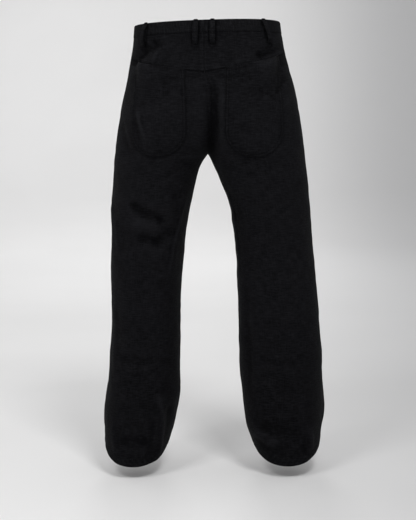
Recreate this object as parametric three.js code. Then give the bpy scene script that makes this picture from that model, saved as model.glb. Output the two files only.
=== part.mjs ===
// Wide-leg jeans in heavy linen twill, hollow and in their worn form. Each piece that is cut and
// sewn is one closed cloth wall. Millimetres, +Z up: the origin is the centre of the waist, the
// front of the jeans faces -Y and their left leg is on +X.
import * as THREE from "three";

// Driving dimensions
const CLOTH = 1.8;
const SEAM_GAP = 0.3;
const HALF_GAP = SEAM_GAP / 2;
const CROTCH = -307;

const WAIST = { level: -1, roll: -0.0315, backRise: 10, frontDip: 15, depth: 106 };
const BAND = { height: 28, wall: 3, proud: 0.6, lap: 16, stepStart: 17, stepEnd: 42 };
const YOKE = { centreDrop: 122, sideDrop: { left: 80, right: 72 } };
const POCKET = {
  wall: 1.6,
  stand: 0.7,
  width: 138,
  flare: 4,
  bottom: -309,
  arch: 0.3,
  archStart: 0.2,
  archTip: 0.985,
  mouthRaise: 2,
  gape: { left: 17, right: 21 },
  gapeDepth: 0.36,
  gapePeak: 0.68,
  innerEdge: { left: 45, right: 49 },
};
const LOOP = {
  width: 12,
  wall: 2,
  drop: 57,
  rise: 2,
  stand: 7,
  contact: 0.7,
  ease: 0.28,
  leavesBand: 0.5,
  meetsYoke: 0.9,
};
const BUTTON = { radius: 8.5, thickness: 3.4, rim: 1.6, dish: 0.9, stand: 1.1 };

// Sections. A loop of cloth runs from inner to outer and from front to back, as an oval of this
// squareness. Above the crotch it passes the centre plane, and the centre seams cut it off there.
const SQUARENESS = 2.2;
const SECTION_COLUMNS = ["height", "inner", "outer", "front", "back"];
const LEFT_SECTIONS = table(SECTION_COLUMNS, [
  [20, -174, 174, -104, 103],
  [0, -175, 175, -106, 106],
  [-45, -178, 178, -110, 114],
  [-85, -185, 185, -114, 122],
  [-112, -178, 188.5, -116, 128],
  [-140, -158, 194, -118, 132],
  [-170, -130, 201.5, -119, 135],
  [-200, -100, 207.5, -120, 136],
  [-230, -72, 212, -120, 135],
  [-260, -45, 217.5, -120, 132],
  [-290, -17, 221.5, -119, 127],
  [CROTCH, HALF_GAP, 223.5, -118, 124],
  [-332, 16.5, 226, -117, 120],
  [-360, 26, 228, -116, 117],
  [-420, 40.5, 233, -113, 111],
  [-478, 51, 234, -110, 106],
  [-536, 58, 235, -106, 101],
  [-595, 63, 236, -102, 99],
  [-654, 67, 235.5, -99, 99],
  [-713, 68, 234.5, -97, 101],
  [-773, 68, 238.5, -96, 105],
  [-832, 68.5, 242, -96, 109],
  [-893, 68, 249, -96, 113],
  [-943, 77, 252.5, -95, 117],
  [-985, 87, 253, -93, 119],
  [-1030, 101, 250, -90, 119],
  [-1060, 108, 246, -90, 119],
]);
const RIGHT_SECTIONS = table(SECTION_COLUMNS, [
  [20, -171, 171, -104, 103],
  [0, -172, 172, -106, 106],
  [-45, -179, 179, -110, 114],
  [-85, -189, 189, -114, 122],
  [-112, -184, 196, -116, 128],
  [-140, -164, 204, -118, 132],
  [-170, -134, 211.5, -119, 135],
  [-200, -103, 217.5, -120, 136],
  [-230, -74, 222.5, -120, 135],
  [-260, -46, 227, -120, 132],
  [-290, -17, 231, -120, 127],
  [CROTCH, HALF_GAP, 232.5, -120, 122],
  [-332, 13.5, 236, -120, 117],
  [-360, 26.5, 239.5, -120, 113],
  [-420, 50, 245, -119, 105],
  [-478, 60.5, 250, -117, 98],
  [-536, 67.5, 255, -115, 92],
  [-595, 70.5, 261, -114, 88],
  [-654, 73, 266.5, -114, 86],
  [-713, 74.5, 271.5, -115, 85],
  [-773, 76, 277, -117, 85],
  [-832, 77.5, 280, -120, 86],
  [-893, 84.5, 281, -123, 87],
  [-943, 90, 281, -126, 87],
  [-985, 98, 278.5, -127, 86],
  [-1030, 115, 272, -127, 84],
  [-1060, 120, 265, -127, 84],
]);

// The centre back seam wanders to the right where it sinks between the two halves of the seat.
const DRIFT = table(["height", "shift"], [
  [20, 0],
  [-90, 0],
  [-113, -3],
  [-130, -10],
  [-155, -17],
  [-200, -17],
  [-240, -15.5],
  [-280, -11.5],
  [CROTCH, -5],
  [-340, 0],
  [-400, 0],
]);
const DRIFT_SPREAD = { x: 60, y: 80 };

// The seat sinks along that seam, by these depths, and is deepest a little to the right of it.
const SEAT_SINK = table(["height", "depth"], [
  [20, 0],
  [-95, 0],
  [-115, 2],
  [-130, 4.5],
  [-160, 8.5],
  [-200, 12.5],
  [-240, 15.5],
  [-280, 16],
  [CROTCH, 13],
  [-340, 5],
  [-370, 0],
]);
const SEAT_SINK_SPREAD = { aside: 5, reach: 18 };

// Each hem lies lower at the heel than over the foot, and rolls a little to one side.
const HEM = { start: -800, level: -1016, slope: 0.36, roll: { left: -0.02, right: 0.04 } };

// Soft folds. Each runs straight between two places on one face, given across (x on the back and
// the front, y on the outer and the inner face) and up. Reach is the way over which it fades out.
const FOLD_COLUMNS = ["face", "across", "up", "acrossEnd", "upEnd", "reach", "lift"];
const LEFT_FOLDS = table(FOLD_COLUMNS, [
  ["back", 168, -84, 122, -46, 16, -11],
  ["back", 202, -205, 186, -294, 20, -3],
  ["back", 153, -202, 135, -266, 20, 3],
  ["back", 164, -428, 108, -458, 15, -8],
  ["back", 158, -472, 126, -467, 18, 6],
  ["back", 146, -504, 113, -509, 15, -6],
  ["back", 113, -509, 84, -488, 14, -6],
  ["back", 192, -795, 92, -803, 15, -3.5],
  ["back", 106, -891, 114, -1050, 14, 6],
  ["back", 84, -920, 96, -1010, 12, -5],
  ["back", 190, -990, 149, -990, 15, -5],
  ["outer", 50, -440, 62, -550, 16, 4],
  ["inner", 64, -417, 70, -589, 16, 3],
  ["front", 95, -345, 40, -300, 22, -5],
  ["front", 150, -560, 95, -585, 20, -5],
  ["front", 215, -980, 130, -960, 22, -5],
  ["front", 210, -930, 150, -915, 22, 5],
  ["outer", -20, -880, 10, -960, 20, 4],
]);
const RIGHT_FOLDS = table(FOLD_COLUMNS, [
  ["back", 168, -60, 132, -76, 14, -9],
  ["back", 181, -125, 165, -164, 18, -3],
  ["inner", 40, -368, 30, -467, 16, 2],
  ["inner", 30, -467, 34, -607, 16, 2],
  ["back", 94, -630, 106, -900, 14, -3],
  ["back", 106, -947, 128, -980, 14, 7],
  ["back", 128, -980, 160, -996, 14, 6],
  ["back", 150, -955, 215, -968, 18, -4],
  ["back", 249, -969, 253, -1029, 14, 5],
  ["front", 100, -345, 42, -300, 22, -5],
  ["front", 165, -575, 110, -555, 20, -4],
  ["front", 230, -985, 140, -965, 22, -5],
  ["front", 225, -935, 165, -920, 22, 5],
  ["outer", -60, -860, -20, -950, 20, 4],
]);

// The side seam angle is how far behind the outermost line of the leg the seam lies, in degrees.
const LEFT = {
  name: "left",
  sign: 1,
  sections: LEFT_SECTIONS,
  folds: LEFT_FOLDS,
  seamAngle: THREE.MathUtils.degToRad(14),
};
const RIGHT = {
  name: "right",
  sign: -1,
  sections: RIGHT_SECTIONS,
  folds: RIGHT_FOLDS,
  seamAngle: THREE.MathUtils.degToRad(4),
};

// Belt loops. Facing is 1 on the back and -1 on the front, across is from the centre plane, and the
// lower end lies further out than the upper one by the lean.
const LOOPS = table(["name", "side", "facing", "across", "lean"], [
  ["loop_centre_left", LEFT, 1, 21, 1],
  ["loop_centre_right", RIGHT, 1, 18, 0],
  ["loop_back_left", LEFT, 1, 140, 11],
  ["loop_back_right", RIGHT, 1, 137, 13],
  ["loop_front_left", LEFT, -1, 92, 7],
  ["loop_front_right", RIGHT, -1, 92, 7],
]);

// Rows of a panel, as heights at its side seam, in runs of even steps. Above the crotch they dip
// towards the centre seam, so that they meet the sweep of that seam at even steps. The front has
// one more run, beside the yoke.
const RISE_TOP = -100;
const ROW_RUNS = table(["from", "to", "steps"], [
  [RISE_TOP, CROTCH, 10],
  [-318, -386, 4],
  [-412, HEM.level, 22],
]);
const YOKE_RUN = { from: -28, to: -82, steps: 3 };
const BACK_ROWS = ROW_RUNS.flatMap(rowsOf);
const FRONT_ROWS = [...rowsOf(YOKE_RUN), ...BACK_ROWS];
const TOP_EASE = 110;
const PANEL_COLUMNS = 13;
const YOKE_ROWS = 5;
const BAND_ROWS = 3;
const BAND_HALF_COLUMNS = 27;
const POCKET_COLUMNS = 11;
const POCKET_STRAIGHT_ROWS = 8;
const POCKET_ARCH_ROWS = 6;
const POCKET_ROWS = [
  ...steps(0, 1 - POCKET.arch, POCKET_STRAIGHT_ROWS),
  ...steps(POCKET.archStart, 1, POCKET_ARCH_ROWS).map(archRow),
];
const LOOP_ROWS = 13;
const LOOP_COLUMNS = 3;
const BUTTON_SIDES = 28;

// Strides for measuring round the cloth: an angle in radians, a part of an angle and a length.
const PROBE = 0.01;
const NEAR_END = 0.99;
const STRIDE = 6;

const TWILL = { color: 0x17171a, roughness: 0.92, metalness: 0 };
const HORN = { color: 0x1b1714, roughness: 0.4, metalness: 0 };

const jeans = new THREE.Group();

addPiece("waistband", waistband(), TWILL);
for (const side of [LEFT, RIGHT]) {
  addPiece(`yoke_${side.name}`, yoke(side), TWILL);
  addPiece(`back_${side.name}`, back(side), TWILL);
  addPiece(`front_${side.name}`, front(side), TWILL);
  addPiece(`pocket_${side.name}`, pocket(side), TWILL);
}
for (const loop of LOOPS) addPiece(loop.name, beltLoop(loop), TWILL);
addPiece("waist_button", waistButton(), HORN);

export default jeans;

function addPiece(name, geometry, look) {
  const mesh = new THREE.Mesh(geometry, new THREE.MeshStandardMaterial(look));
  mesh.name = name;
  jeans.add(mesh);
}

// ---- Pieces ----

// One strip round the waist. Its left end laps over its right end at the centre front.
function waistband() {
  const level = -BAND.height / 2;
  const lapEnd = (side) => angleAtX(side, level, -BAND.lap, -1);
  const quarter = Math.PI / 2;
  const stations = [
    ...steps(lapEnd(LEFT), quarter, BAND_HALF_COLUMNS).map((angle) => ({ side: LEFT, angle })),
    ...steps(quarter, lapEnd(RIGHT), BAND_HALF_COLUMNS)
      .slice(1)
      .map((angle) => ({ side: RIGHT, angle })),
  ];
  const face = (depth) =>
    steps(0, BAND.height, BAND_ROWS - 1).map((drop) =>
      stations.map(({ side, angle }) => {
        const height = belowWaist(side, angle, drop);
        return surface(side, angle, height, BAND.proud - depth - underlap(side, angle));
      }),
    );
  return closedWall(face(0), face(BAND.wall));
}

// How far the right end of the band steps in to pass under the left end.
function underlap(side, angle) {
  if (side === LEFT || angle > 0) return 0;
  const x = -surface(side, angle, -BAND.height / 2).x;
  const step = BAND.wall + SEAM_GAP;
  return step * (1 - THREE.MathUtils.smoothstep(x, BAND.stepStart, BAND.stepEnd));
}

function yoke(side) {
  const rows = steps(0, 1, YOKE_ROWS - 1);
  return panel(side, rows, 1, (t, angle) => {
    const top = belowWaist(side, angle, BAND.height + SEAM_GAP);
    const bottom = yokeEdge(side, angle) + HALF_GAP;
    return THREE.MathUtils.lerp(top, bottom, t);
  });
}

function back(side) {
  const topEdge = (angle) => yokeEdge(side, angle) - HALF_GAP;
  return panel(side, BACK_ROWS, 1, (row, angle) => fitEdges(side, row, angle, BACK_ROWS[0], topEdge));
}

function front(side) {
  const topEdge = (angle) => belowWaist(side, angle, BAND.height + SEAM_GAP);
  return panel(side, FRONT_ROWS, -1, (row, angle) =>
    fitEdges(side, row, angle, FRONT_ROWS[0], topEdge),
  );
}

// A row takes up the slant of the panel's top edge near the top and of the hem near the hem.
function fitEdges(side, row, angle, topRow, topEdge) {
  const nearTop = THREE.MathUtils.clamp(1 - (topRow - row) / TOP_EASE, 0, 1);
  const nearHem = THREE.MathUtils.clamp((HEM.start - row) / (HEM.start - HEM.level), 0, 1);
  return row + nearTop * (topEdge(angle) - topRow) + nearHem * hemSlant(side, angle);
}

// How far a row above the crotch dips at a part of the way from the side seam to the centre seam.
function rowDip(row, part) {
  const rise = RISE_TOP - CROTCH;
  const down = THREE.MathUtils.clamp((RISE_TOP - row) / rise, 0, 1);
  return rise * (Math.sin((down * Math.PI) / 2) - down) * part * part;
}

function hemSlant(side, angle) {
  const loop = section(side, HEM.level);
  const point = surface(side, angle, HEM.level);
  const outwards = side.sign * point.x - loop.middle;
  return -HEM.slope * (point.y - loop.centre) - HEM.roll[side.name] * outwards;
}

// A deep patch with a rounded bottom. Its mouth stands off the yoke towards the side.
function pocket(side) {
  const columns = steps(0, 1, POCKET_COLUMNS - 1);
  const mouthLevel = -YOKE.sideDrop[side.name];
  const face = (depth) =>
    POCKET_ROWS.map((row) =>
      columns.map((column) => {
        const across = pocketAcross(row, column);
        const mouth = yokeEdge(side, pocketAngle(side, mouthLevel, across)) + POCKET.mouthRaise;
        const height = THREE.MathUtils.lerp(mouth, POCKET.bottom, row);
        const out = POCKET.stand + POCKET.wall + pocketGape(side, row, across) - depth;
        return surface(side, pocketAngle(side, height, across), height, out);
      }),
    );
  return closedWall(face(0), face(POCKET.wall));
}

// Rows of the rounded bottom, closer together towards its tip.
function archRow(t) {
  return 1 - POCKET.arch * (1 - Math.sin((t * Math.PI) / 2) * POCKET.archTip);
}

// How far a point of the pocket lies from its inner edge line.
function pocketAcross(row, column) {
  const widening = POCKET.flare * THREE.MathUtils.smoothstep(row, 0, 1 - POCKET.arch);
  const past = Math.max((row - (1 - POCKET.arch)) / POCKET.arch, 0);
  const half = ((POCKET.width + widening) / 2) * Math.sqrt(1 - past * past);
  return POCKET.width / 2 + half * (2 * column - 1);
}

function pocketGape(side, row, across) {
  const place = THREE.MathUtils.clamp(across / POCKET.width, 0, 1);
  const swell = Math.sin(Math.PI * place ** (Math.log(0.5) / Math.log(POCKET.gapePeak)));
  const fade = 1 - THREE.MathUtils.smoothstep(row, 0, POCKET.gapeDepth);
  return POCKET.gape[side.name] * swell * swell * fade;
}

function pocketAngle(side, height, across) {
  const start = angleAtX(side, height, POCKET.innerEdge[side.name], 1);
  return walk(side, height, start, -across);
}

// A strip that bridges the waistband, sewn down at both ends.
function beltLoop({ side, facing, across, lean }) {
  const top = angleAtX(side, -BAND.height, across, facing);
  const offsets = steps(-LOOP.width / 2, LOOP.width / 2, LOOP_COLUMNS - 1);
  const angleAt = (offset) => walk(side, -BAND.height, top, offset);
  const face = (depth) =>
    steps(0, 1, LOOP_ROWS - 1).map((row) => {
      const middle = -facing * lean * row;
      const overBand = 1 - THREE.MathUtils.smoothstep(row, LOOP.leavesBand, LOOP.meetsYoke);
      const rise = THREE.MathUtils.smoothstep(row, 0, LOOP.ease);
      const fall = 1 - THREE.MathUtils.smoothstep(row, 1 - LOOP.ease, 1);
      const seat = LOOP.contact + BAND.proud * overBand;
      const out = seat + LOOP.wall + LOOP.stand * rise * fall - depth;
      const drop = THREE.MathUtils.lerp(-LOOP.rise, LOOP.drop, row);
      const height = belowWaist(side, angleAt(middle), drop);
      return offsets.map((offset) => surface(side, angleAt(middle + offset), height, out));
    });
  return closedWall(face(0), face(LOOP.wall));
}

// A round button with a dished middle, its face to the front.
function waistButton() {
  const profile = [
    [0, 0],
    [BUTTON.radius - BUTTON.rim / 2, 0],
    [BUTTON.radius, BUTTON.rim / 2],
    [BUTTON.radius, BUTTON.thickness - BUTTON.rim / 2],
    [BUTTON.radius - BUTTON.rim / 2, BUTTON.thickness],
    [BUTTON.radius - BUTTON.rim, BUTTON.thickness],
    [BUTTON.radius - 2 * BUTTON.rim, BUTTON.thickness - BUTTON.dish],
    [0, BUTTON.thickness - BUTTON.dish],
  ].map(([radius, up]) => new THREE.Vector2(radius, up));
  const button = new THREE.LatheGeometry(profile, BUTTON_SIDES);
  const centreFront = -Math.PI / 2;
  const height = belowWaist(LEFT, centreFront, BAND.height / 2);
  const seat = surface(LEFT, centreFront, height, BAND.proud + BUTTON.stand);
  button.rotateX(Math.PI);
  button.translate(0, seat.y, height);
  return button;
}

// ---- The cloth surface ----

// The oval at a height, and the reach of its angle to where the centre seam cuts it off.
function section(side, height) {
  const at = (column) => smooth(side.sections, column, height);
  const [inner, outer, front, rear] = ["inner", "outer", "front", "back"].map(at);
  const middle = (inner + outer) / 2;
  const halfWidth = (outer - inner) / 2;
  const cut = Math.min((middle - HALF_GAP) / halfWidth, 1);
  return {
    middle,
    halfWidth,
    centre: (front + rear) / 2,
    halfDepth: (rear - front) / 2,
    reach: Math.PI - Math.acos(power(cut, SQUARENESS / 2)),
  };
}

// The point at an angle round a section, moved out of the cloth. Angle 0 is the outside of the
// leg, and a negative angle is to the front of it.
function surface(side, angle, height, out = 0) {
  const loop = section(side, height);
  const [c, s] = [Math.cos(angle), Math.sin(angle)];
  const x = loop.middle + loop.halfWidth * power(c, 2 / SQUARENESS);
  const y = loop.centre + loop.halfDepth * power(s, 2 / SQUARENESS);
  const normal = new THREE.Vector2(
    power(c, 2 - 2 / SQUARENESS) / loop.halfWidth,
    power(s, 2 - 2 / SQUARENESS) / loop.halfDepth,
  ).normalize();
  const move = out + foldLift(side, x, y, height, normal);
  const px = side.sign * (x + normal.x * move) + drift(x, y, height);
  const py = y + normal.y * move - seatSink(side.sign * x + SEAT_SINK_SPREAD.aside, y, height);
  return new THREE.Vector3(px, py, height);
}

function drift(x, y, height) {
  const nearCentre = 1 - THREE.MathUtils.smoothstep(Math.abs(x), 0, DRIFT_SPREAD.x);
  const nearBack = THREE.MathUtils.smoothstep(y, 0, DRIFT_SPREAD.y);
  return smooth(DRIFT, "shift", height) * nearCentre * nearBack;
}

function seatSink(fromDeepest, y, height) {
  const nearSeam = Math.exp(-((fromDeepest / SEAT_SINK_SPREAD.reach) ** 2));
  const nearBack = THREE.MathUtils.smoothstep(y, 0, DRIFT_SPREAD.y);
  return smooth(SEAT_SINK, "depth", height) * nearSeam * nearBack;
}

function foldLift(side, x, y, height, normal) {
  const facing = { back: normal.y, front: -normal.y, outer: normal.x, inner: -normal.x };
  const across = { back: x, front: x, outer: y, inner: y };
  let lift = 0;
  for (const fold of side.folds) {
    const turned = Math.max(facing[fold.face], 0);
    const run = new THREE.Vector2(fold.acrossEnd - fold.across, fold.upEnd - fold.up);
    const away = new THREE.Vector2(across[fold.face] - fold.across, height - fold.up);
    const along = THREE.MathUtils.clamp(away.dot(run) / run.lengthSq(), 0, 1);
    away.addScaledVector(run, -along).divideScalar(fold.reach);
    lift += fold.lift * turned * Math.exp(-away.lengthSq());
  }
  return lift;
}

// The angle that lies a short way round the section from another one.
function stepAngle(side, height, angle, distance) {
  const probe = distance < 0 ? -PROBE : PROBE;
  const run = surface(side, angle, height).distanceTo(surface(side, angle + probe, height));
  return angle + (probe * Math.abs(distance)) / run;
}

function walk(side, height, angle, distance) {
  const strides = Math.max(Math.ceil(Math.abs(distance) / STRIDE), 1);
  let here = angle;
  for (let stride = 0; stride < strides; stride += 1) {
    here = stepAngle(side, height, here, distance / strides);
  }
  return here;
}

// Where the back or the front face passes a given distance from the centre plane.
function angleAtX(side, height, x, facing) {
  const loop = section(side, height);
  return facing * Math.acos(power((x - loop.middle) / loop.halfWidth, SQUARENESS / 2));
}

// The last angle of a panel at its centre seam or its inseam. Only where the cloth runs to the
// front or the back there does the seam gap come off its length: the cut of the section gives it
// elsewhere.
function centreEdge(side, height, facing) {
  const end = facing * section(side, height).reach;
  const inward = surface(side, end * NEAR_END, height).sub(surface(side, end, height));
  const runsInDepth = Math.abs(inward.y) / inward.length();
  return stepAngle(side, height, end, -facing * HALF_GAP) * runsInDepth + end * (1 - runsInDepth);
}

// ---- Edges, as heights ----

function waistEdge(x, y) {
  const part = y / WAIST.depth;
  const tilt = ((WAIST.backRise + WAIST.frontDip) / 2) * part;
  const bow = ((WAIST.backRise - WAIST.frontDip) / 2) * part * part;
  return WAIST.level + WAIST.roll * x + tilt + bow;
}

function belowWaist(side, angle, drop) {
  const point = surface(side, angle, -drop);
  return waistEdge(point.x, point.y) - drop;
}

// The seam under the yoke, deepest at the centre back.
function yokeEdge(side, angle) {
  const centre = section(side, -YOKE.centreDrop).reach;
  const t = THREE.MathUtils.clamp((angle - side.seamAngle) / (centre - side.seamAngle), 0, 1);
  const drop = THREE.MathUtils.lerp(YOKE.sideDrop[side.name], YOKE.centreDrop, t);
  return belowWaist(side, angle, drop);
}

// ---- Tables ----

function table(columns, rows) {
  return rows.map((row) => Object.fromEntries(columns.map((column, i) => [column, row[i]])));
}

function rowsOf(run) {
  return steps(run.from, run.to, run.steps);
}

function steps(from, to, count) {
  return Array.from({ length: count + 1 }, (_, i) => THREE.MathUtils.lerp(from, to, i / count));
}

function power(value, exponent) {
  return Math.sign(value) * Math.abs(value) ** exponent;
}

// A smooth curve through one column of a table whose heights run downwards.
function smooth(rows, column, height) {
  const last = rows.length - 1;
  let i = 0;
  while (i < last - 1 && rows[i + 1].height > height) i += 1;
  const [high, low] = [rows[i], rows[i + 1]];
  const span = low.height - high.height;
  const t = THREE.MathUtils.clamp((height - high.height) / span, 0, 1);
  const leave = slope(rows, column, Math.max(i - 1, 0), i + 1) * span;
  const arrive = slope(rows, column, i, Math.min(i + 2, last)) * span;
  const blend = t * t * (3 - 2 * t);
  const bend = t * (1 - t) * (leave * (1 - t) - arrive * t);
  return THREE.MathUtils.lerp(high[column], low[column], blend) + bend;
}

function slope(rows, column, i, j) {
  return (rows[j][column] - rows[i][column]) / (rows[j].height - rows[i].height);
}

// ---- Closed cloth walls ----

// A panel from the side seam to the centre back (facing 1) or the centre front (facing -1). The
// rows run down it, and fit gives the height of a row at an angle.
function panel(side, rows, facing, fit) {
  const columns = steps(0, 1, PANEL_COLUMNS - 1);
  const place = (row, column) => {
    const angleAt = (height) => {
      const start = stepAngle(side, height, side.seamAngle, facing * HALF_GAP);
      return THREE.MathUtils.lerp(start, centreEdge(side, height, facing), column);
    };
    const dipped = row - rowDip(row, column);
    const height = fit(dipped, angleAt(fit(dipped, side.seamAngle)));
    return [angleAt(height), height];
  };
  const face = (depth) =>
    rows.map((row) =>
      columns.map((column) => {
        const [angle, height] = place(row, column);
        return surface(side, angle, height, -depth);
      }),
    );
  return closedWall(face(0), face(CLOTH));
}

// Joins two grids of points, an outer and an inner face, into one closed wall.
function closedWall(outer, inner) {
  const lastRow = outer.length - 1;
  const lastColumn = outer[0].length - 1;
  const size = (lastRow + 1) * (lastColumn + 1);
  const points = [...outer.flat(), ...inner.flat()];
  const id = (face, row, column) => face * size + row * (lastColumn + 1) + column;
  const index = [];
  const quad = (a, b, c, d) => index.push(a, b, c, a, c, d);
  const rim = (row, column, nextRow, nextColumn) =>
    quad(id(0, row, column), id(1, row, column), id(1, nextRow, nextColumn), id(0, nextRow, nextColumn));
  for (let row = 0; row < lastRow; row += 1) {
    for (let column = 0; column < lastColumn; column += 1) {
      const corners = [[row, column], [row + 1, column], [row + 1, column + 1], [row, column + 1]];
      quad(...corners.map((corner) => id(0, ...corner)));
      quad(...corners.reverse().map((corner) => id(1, ...corner)));
    }
    rim(row, 0, row + 1, 0);
    rim(row + 1, lastColumn, row, lastColumn);
  }
  for (let column = 0; column < lastColumn; column += 1) {
    rim(0, column + 1, 0, column);
    rim(lastRow, column, lastRow, column + 1);
  }
  const geometry = new THREE.BufferGeometry().setFromPoints(points);
  geometry.setIndex(signedVolume(points, index) > 0 ? index : index.reverse());
  geometry.computeVertexNormals();
  return geometry;
}

function signedVolume(points, index) {
  let volume = 0;
  for (let i = 0; i < index.length; i += 3) {
    const [a, b, c] = [points[index[i]], points[index[i + 1]], points[index[i + 2]]];
    volume += a.dot(b.clone().cross(c)) / 6;
  }
  return volume;
}
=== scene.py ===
"""Wide-leg jeans in heavy black linen twill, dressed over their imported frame.

Every cut piece is a fine shell on the form of its solid. Lengths of the cloth are in millimetres
until a mesh is made, +Z is up, the front faces -Y and the jeans' left leg is on +X.
"""

import math
from dataclasses import dataclass

import bpy
import numpy as np
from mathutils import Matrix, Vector


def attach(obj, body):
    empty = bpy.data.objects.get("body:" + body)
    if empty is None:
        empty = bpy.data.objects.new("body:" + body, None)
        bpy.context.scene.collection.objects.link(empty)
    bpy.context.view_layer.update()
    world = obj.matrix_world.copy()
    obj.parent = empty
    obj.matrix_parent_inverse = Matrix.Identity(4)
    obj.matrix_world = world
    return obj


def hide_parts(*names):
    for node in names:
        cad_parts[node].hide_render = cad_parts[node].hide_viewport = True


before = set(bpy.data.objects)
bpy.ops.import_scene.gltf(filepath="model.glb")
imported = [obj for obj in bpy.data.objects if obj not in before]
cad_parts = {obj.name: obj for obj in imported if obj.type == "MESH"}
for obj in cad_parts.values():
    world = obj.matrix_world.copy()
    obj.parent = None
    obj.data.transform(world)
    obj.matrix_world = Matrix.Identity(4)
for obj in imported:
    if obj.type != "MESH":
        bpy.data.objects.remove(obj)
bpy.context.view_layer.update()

MM = 0.001

# ---- Sizes of the cut, shared with the solids ----

CLOTH = 1.8
CROTCH = -307

# The gaps at seams: between panels, under the band, and at the centre, where edges just overlap.
SEAM_GAP, BAND_SEAM, CENTRE_SEAM = 0.12, 0.01, -0.1
HALF_GAP = SEAM_GAP / 2

WAIST_LEVEL, WAIST_ROLL, WAIST_DEPTH = -1, -0.0315, 106
BACK_RISE, FRONT_DIP = 10, 15

BAND_HEIGHT, BAND_WALL, BAND_PROUD, BAND_LAP = 28, 3, 0.6, 16
BAND_STEP_START, BAND_STEP_END = 17, 42

YOKE_CENTRE_DROP = 122
YOKE_SIDE_DROP = {"left": 80, "right": 72}

POCKET_WALL, POCKET_STAND, POCKET_WIDTH, POCKET_FLARE = 1.6, 0.7, 138, 4
POCKET_BOTTOM, POCKET_ARCH, POCKET_MOUTH_RAISE = -309, 0.3, 2
POCKET_GAPE = {"left": 17, "right": 21}
POCKET_GAPE_DEPTH, POCKET_GAPE_PEAK = 0.36, 0.68
POCKET_INNER_EDGE = {"left": 45, "right": 49}

LOOP_WIDTH, LOOP_WALL, LOOP_DROP, LOOP_RISE, LOOP_STAND = 12, 2, 57, 2, 7
LOOP_CONTACT, LOOP_EASE, LOOP_LEAVES_BAND, LOOP_MEETS_YOKE = 0.7, 0.28, 0.5, 0.9
LOOPS = [  # name, side, 1 on the back or -1 on the front, way from the centre plane, lean
    ("loop_centre_left", "left", 1, 21, 1),
    ("loop_centre_right", "right", 1, 18, 0),
    ("loop_back_left", "left", 1, 140, 11),
    ("loop_back_right", "right", 1, 137, 13),
    ("loop_front_left", "left", -1, 92, 7),
    ("loop_front_right", "right", -1, 92, 7),
]

BUTTON_RADIUS, BUTTON_THICKNESS, BUTTON_STAND = 8.5, 3.4, 1.1
BUTTON_RIM, BUTTON_DISH = 1.6, 0.9

HEM_START, HEM_LEVEL, HEM_SLOPE = -800, -1016, 0.36
HEM_ROLL = {"left": -0.02, "right": 0.04}
RISE_TOP, TOP_EASE = -100, 110
SQUARENESS = 2.2


def table(columns, rows):
    """Named columns of numbers."""
    return {name: np.array([row[i] for row in rows], float) for i, name in enumerate(columns)}


# A loop of cloth runs from inner to outer and from front to back.
SECTION_COLUMNS = ["height", "inner", "outer", "front", "back"]
LEFT_SECTIONS = table(SECTION_COLUMNS, [
    (20, -174, 174, -104, 103),
    (0, -175, 175, -106, 106),
    (-45, -178, 178, -110, 114),
    (-85, -185, 185, -114, 122),
    (-112, -178, 188.5, -116, 128),
    (-140, -158, 194, -118, 132),
    (-170, -130, 201.5, -119, 135),
    (-200, -100, 207.5, -120, 136),
    (-230, -72, 212, -120, 135),
    (-260, -45, 217.5, -120, 132),
    (-290, -17, 221.5, -119, 127),
    (CROTCH, CENTRE_SEAM, 223.5, -118, 124),
    (-332, 16.5, 226, -117, 120),
    (-360, 26, 228, -116, 117),
    (-420, 40.5, 233, -113, 111),
    (-478, 51, 234, -110, 106),
    (-536, 58, 235, -106, 101),
    (-595, 63, 236, -102, 99),
    (-654, 67, 235.5, -99, 99),
    (-713, 68, 234.5, -97, 101),
    (-773, 68, 238.5, -96, 105),
    (-832, 68.5, 242, -96, 109),
    (-893, 68, 249, -96, 113),
    (-943, 77, 252.5, -95, 117),
    (-985, 87, 253, -93, 119),
    (-1030, 101, 250, -90, 119),
    (-1060, 108, 246, -90, 119),
])
RIGHT_SECTIONS = table(SECTION_COLUMNS, [
    (20, -171, 171, -104, 103),
    (0, -172, 172, -106, 106),
    (-45, -179, 179, -110, 114),
    (-85, -189, 189, -114, 122),
    (-112, -184, 196, -116, 128),
    (-140, -164, 204, -118, 132),
    (-170, -134, 211.5, -119, 135),
    (-200, -103, 217.5, -120, 136),
    (-230, -74, 222.5, -120, 135),
    (-260, -46, 227, -120, 132),
    (-290, -17, 231, -120, 127),
    (CROTCH, CENTRE_SEAM, 232.5, -120, 122),
    (-332, 13.5, 236, -120, 117),
    (-360, 26.5, 239.5, -120, 113),
    (-420, 50, 245, -119, 105),
    (-478, 60.5, 250, -117, 98),
    (-536, 67.5, 255, -115, 92),
    (-595, 70.5, 261, -114, 88),
    (-654, 73, 266.5, -114, 86),
    (-713, 74.5, 271.5, -115, 85),
    (-773, 76, 277, -117, 85),
    (-832, 77.5, 280, -120, 86),
    (-893, 84.5, 281, -123, 87),
    (-943, 90, 281, -126, 87),
    (-985, 98, 278.5, -127, 86),
    (-1030, 115, 272, -127, 84),
    (-1060, 120, 265, -127, 84),
])

# The centre back seam wanders to the right where it sinks between the two halves of the seat.
DRIFT = table(["height", "shift"], [
    (20, 0),
    (-90, 0),
    (-113, -3),
    (-130, -10),
    (-155, -17),
    (-200, -17),
    (-240, -15.5),
    (-280, -11.5),
    (CROTCH, -5),
    (-340, 0),
    (-400, 0),
])
DRIFT_X, DRIFT_Y = 60, 80

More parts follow.
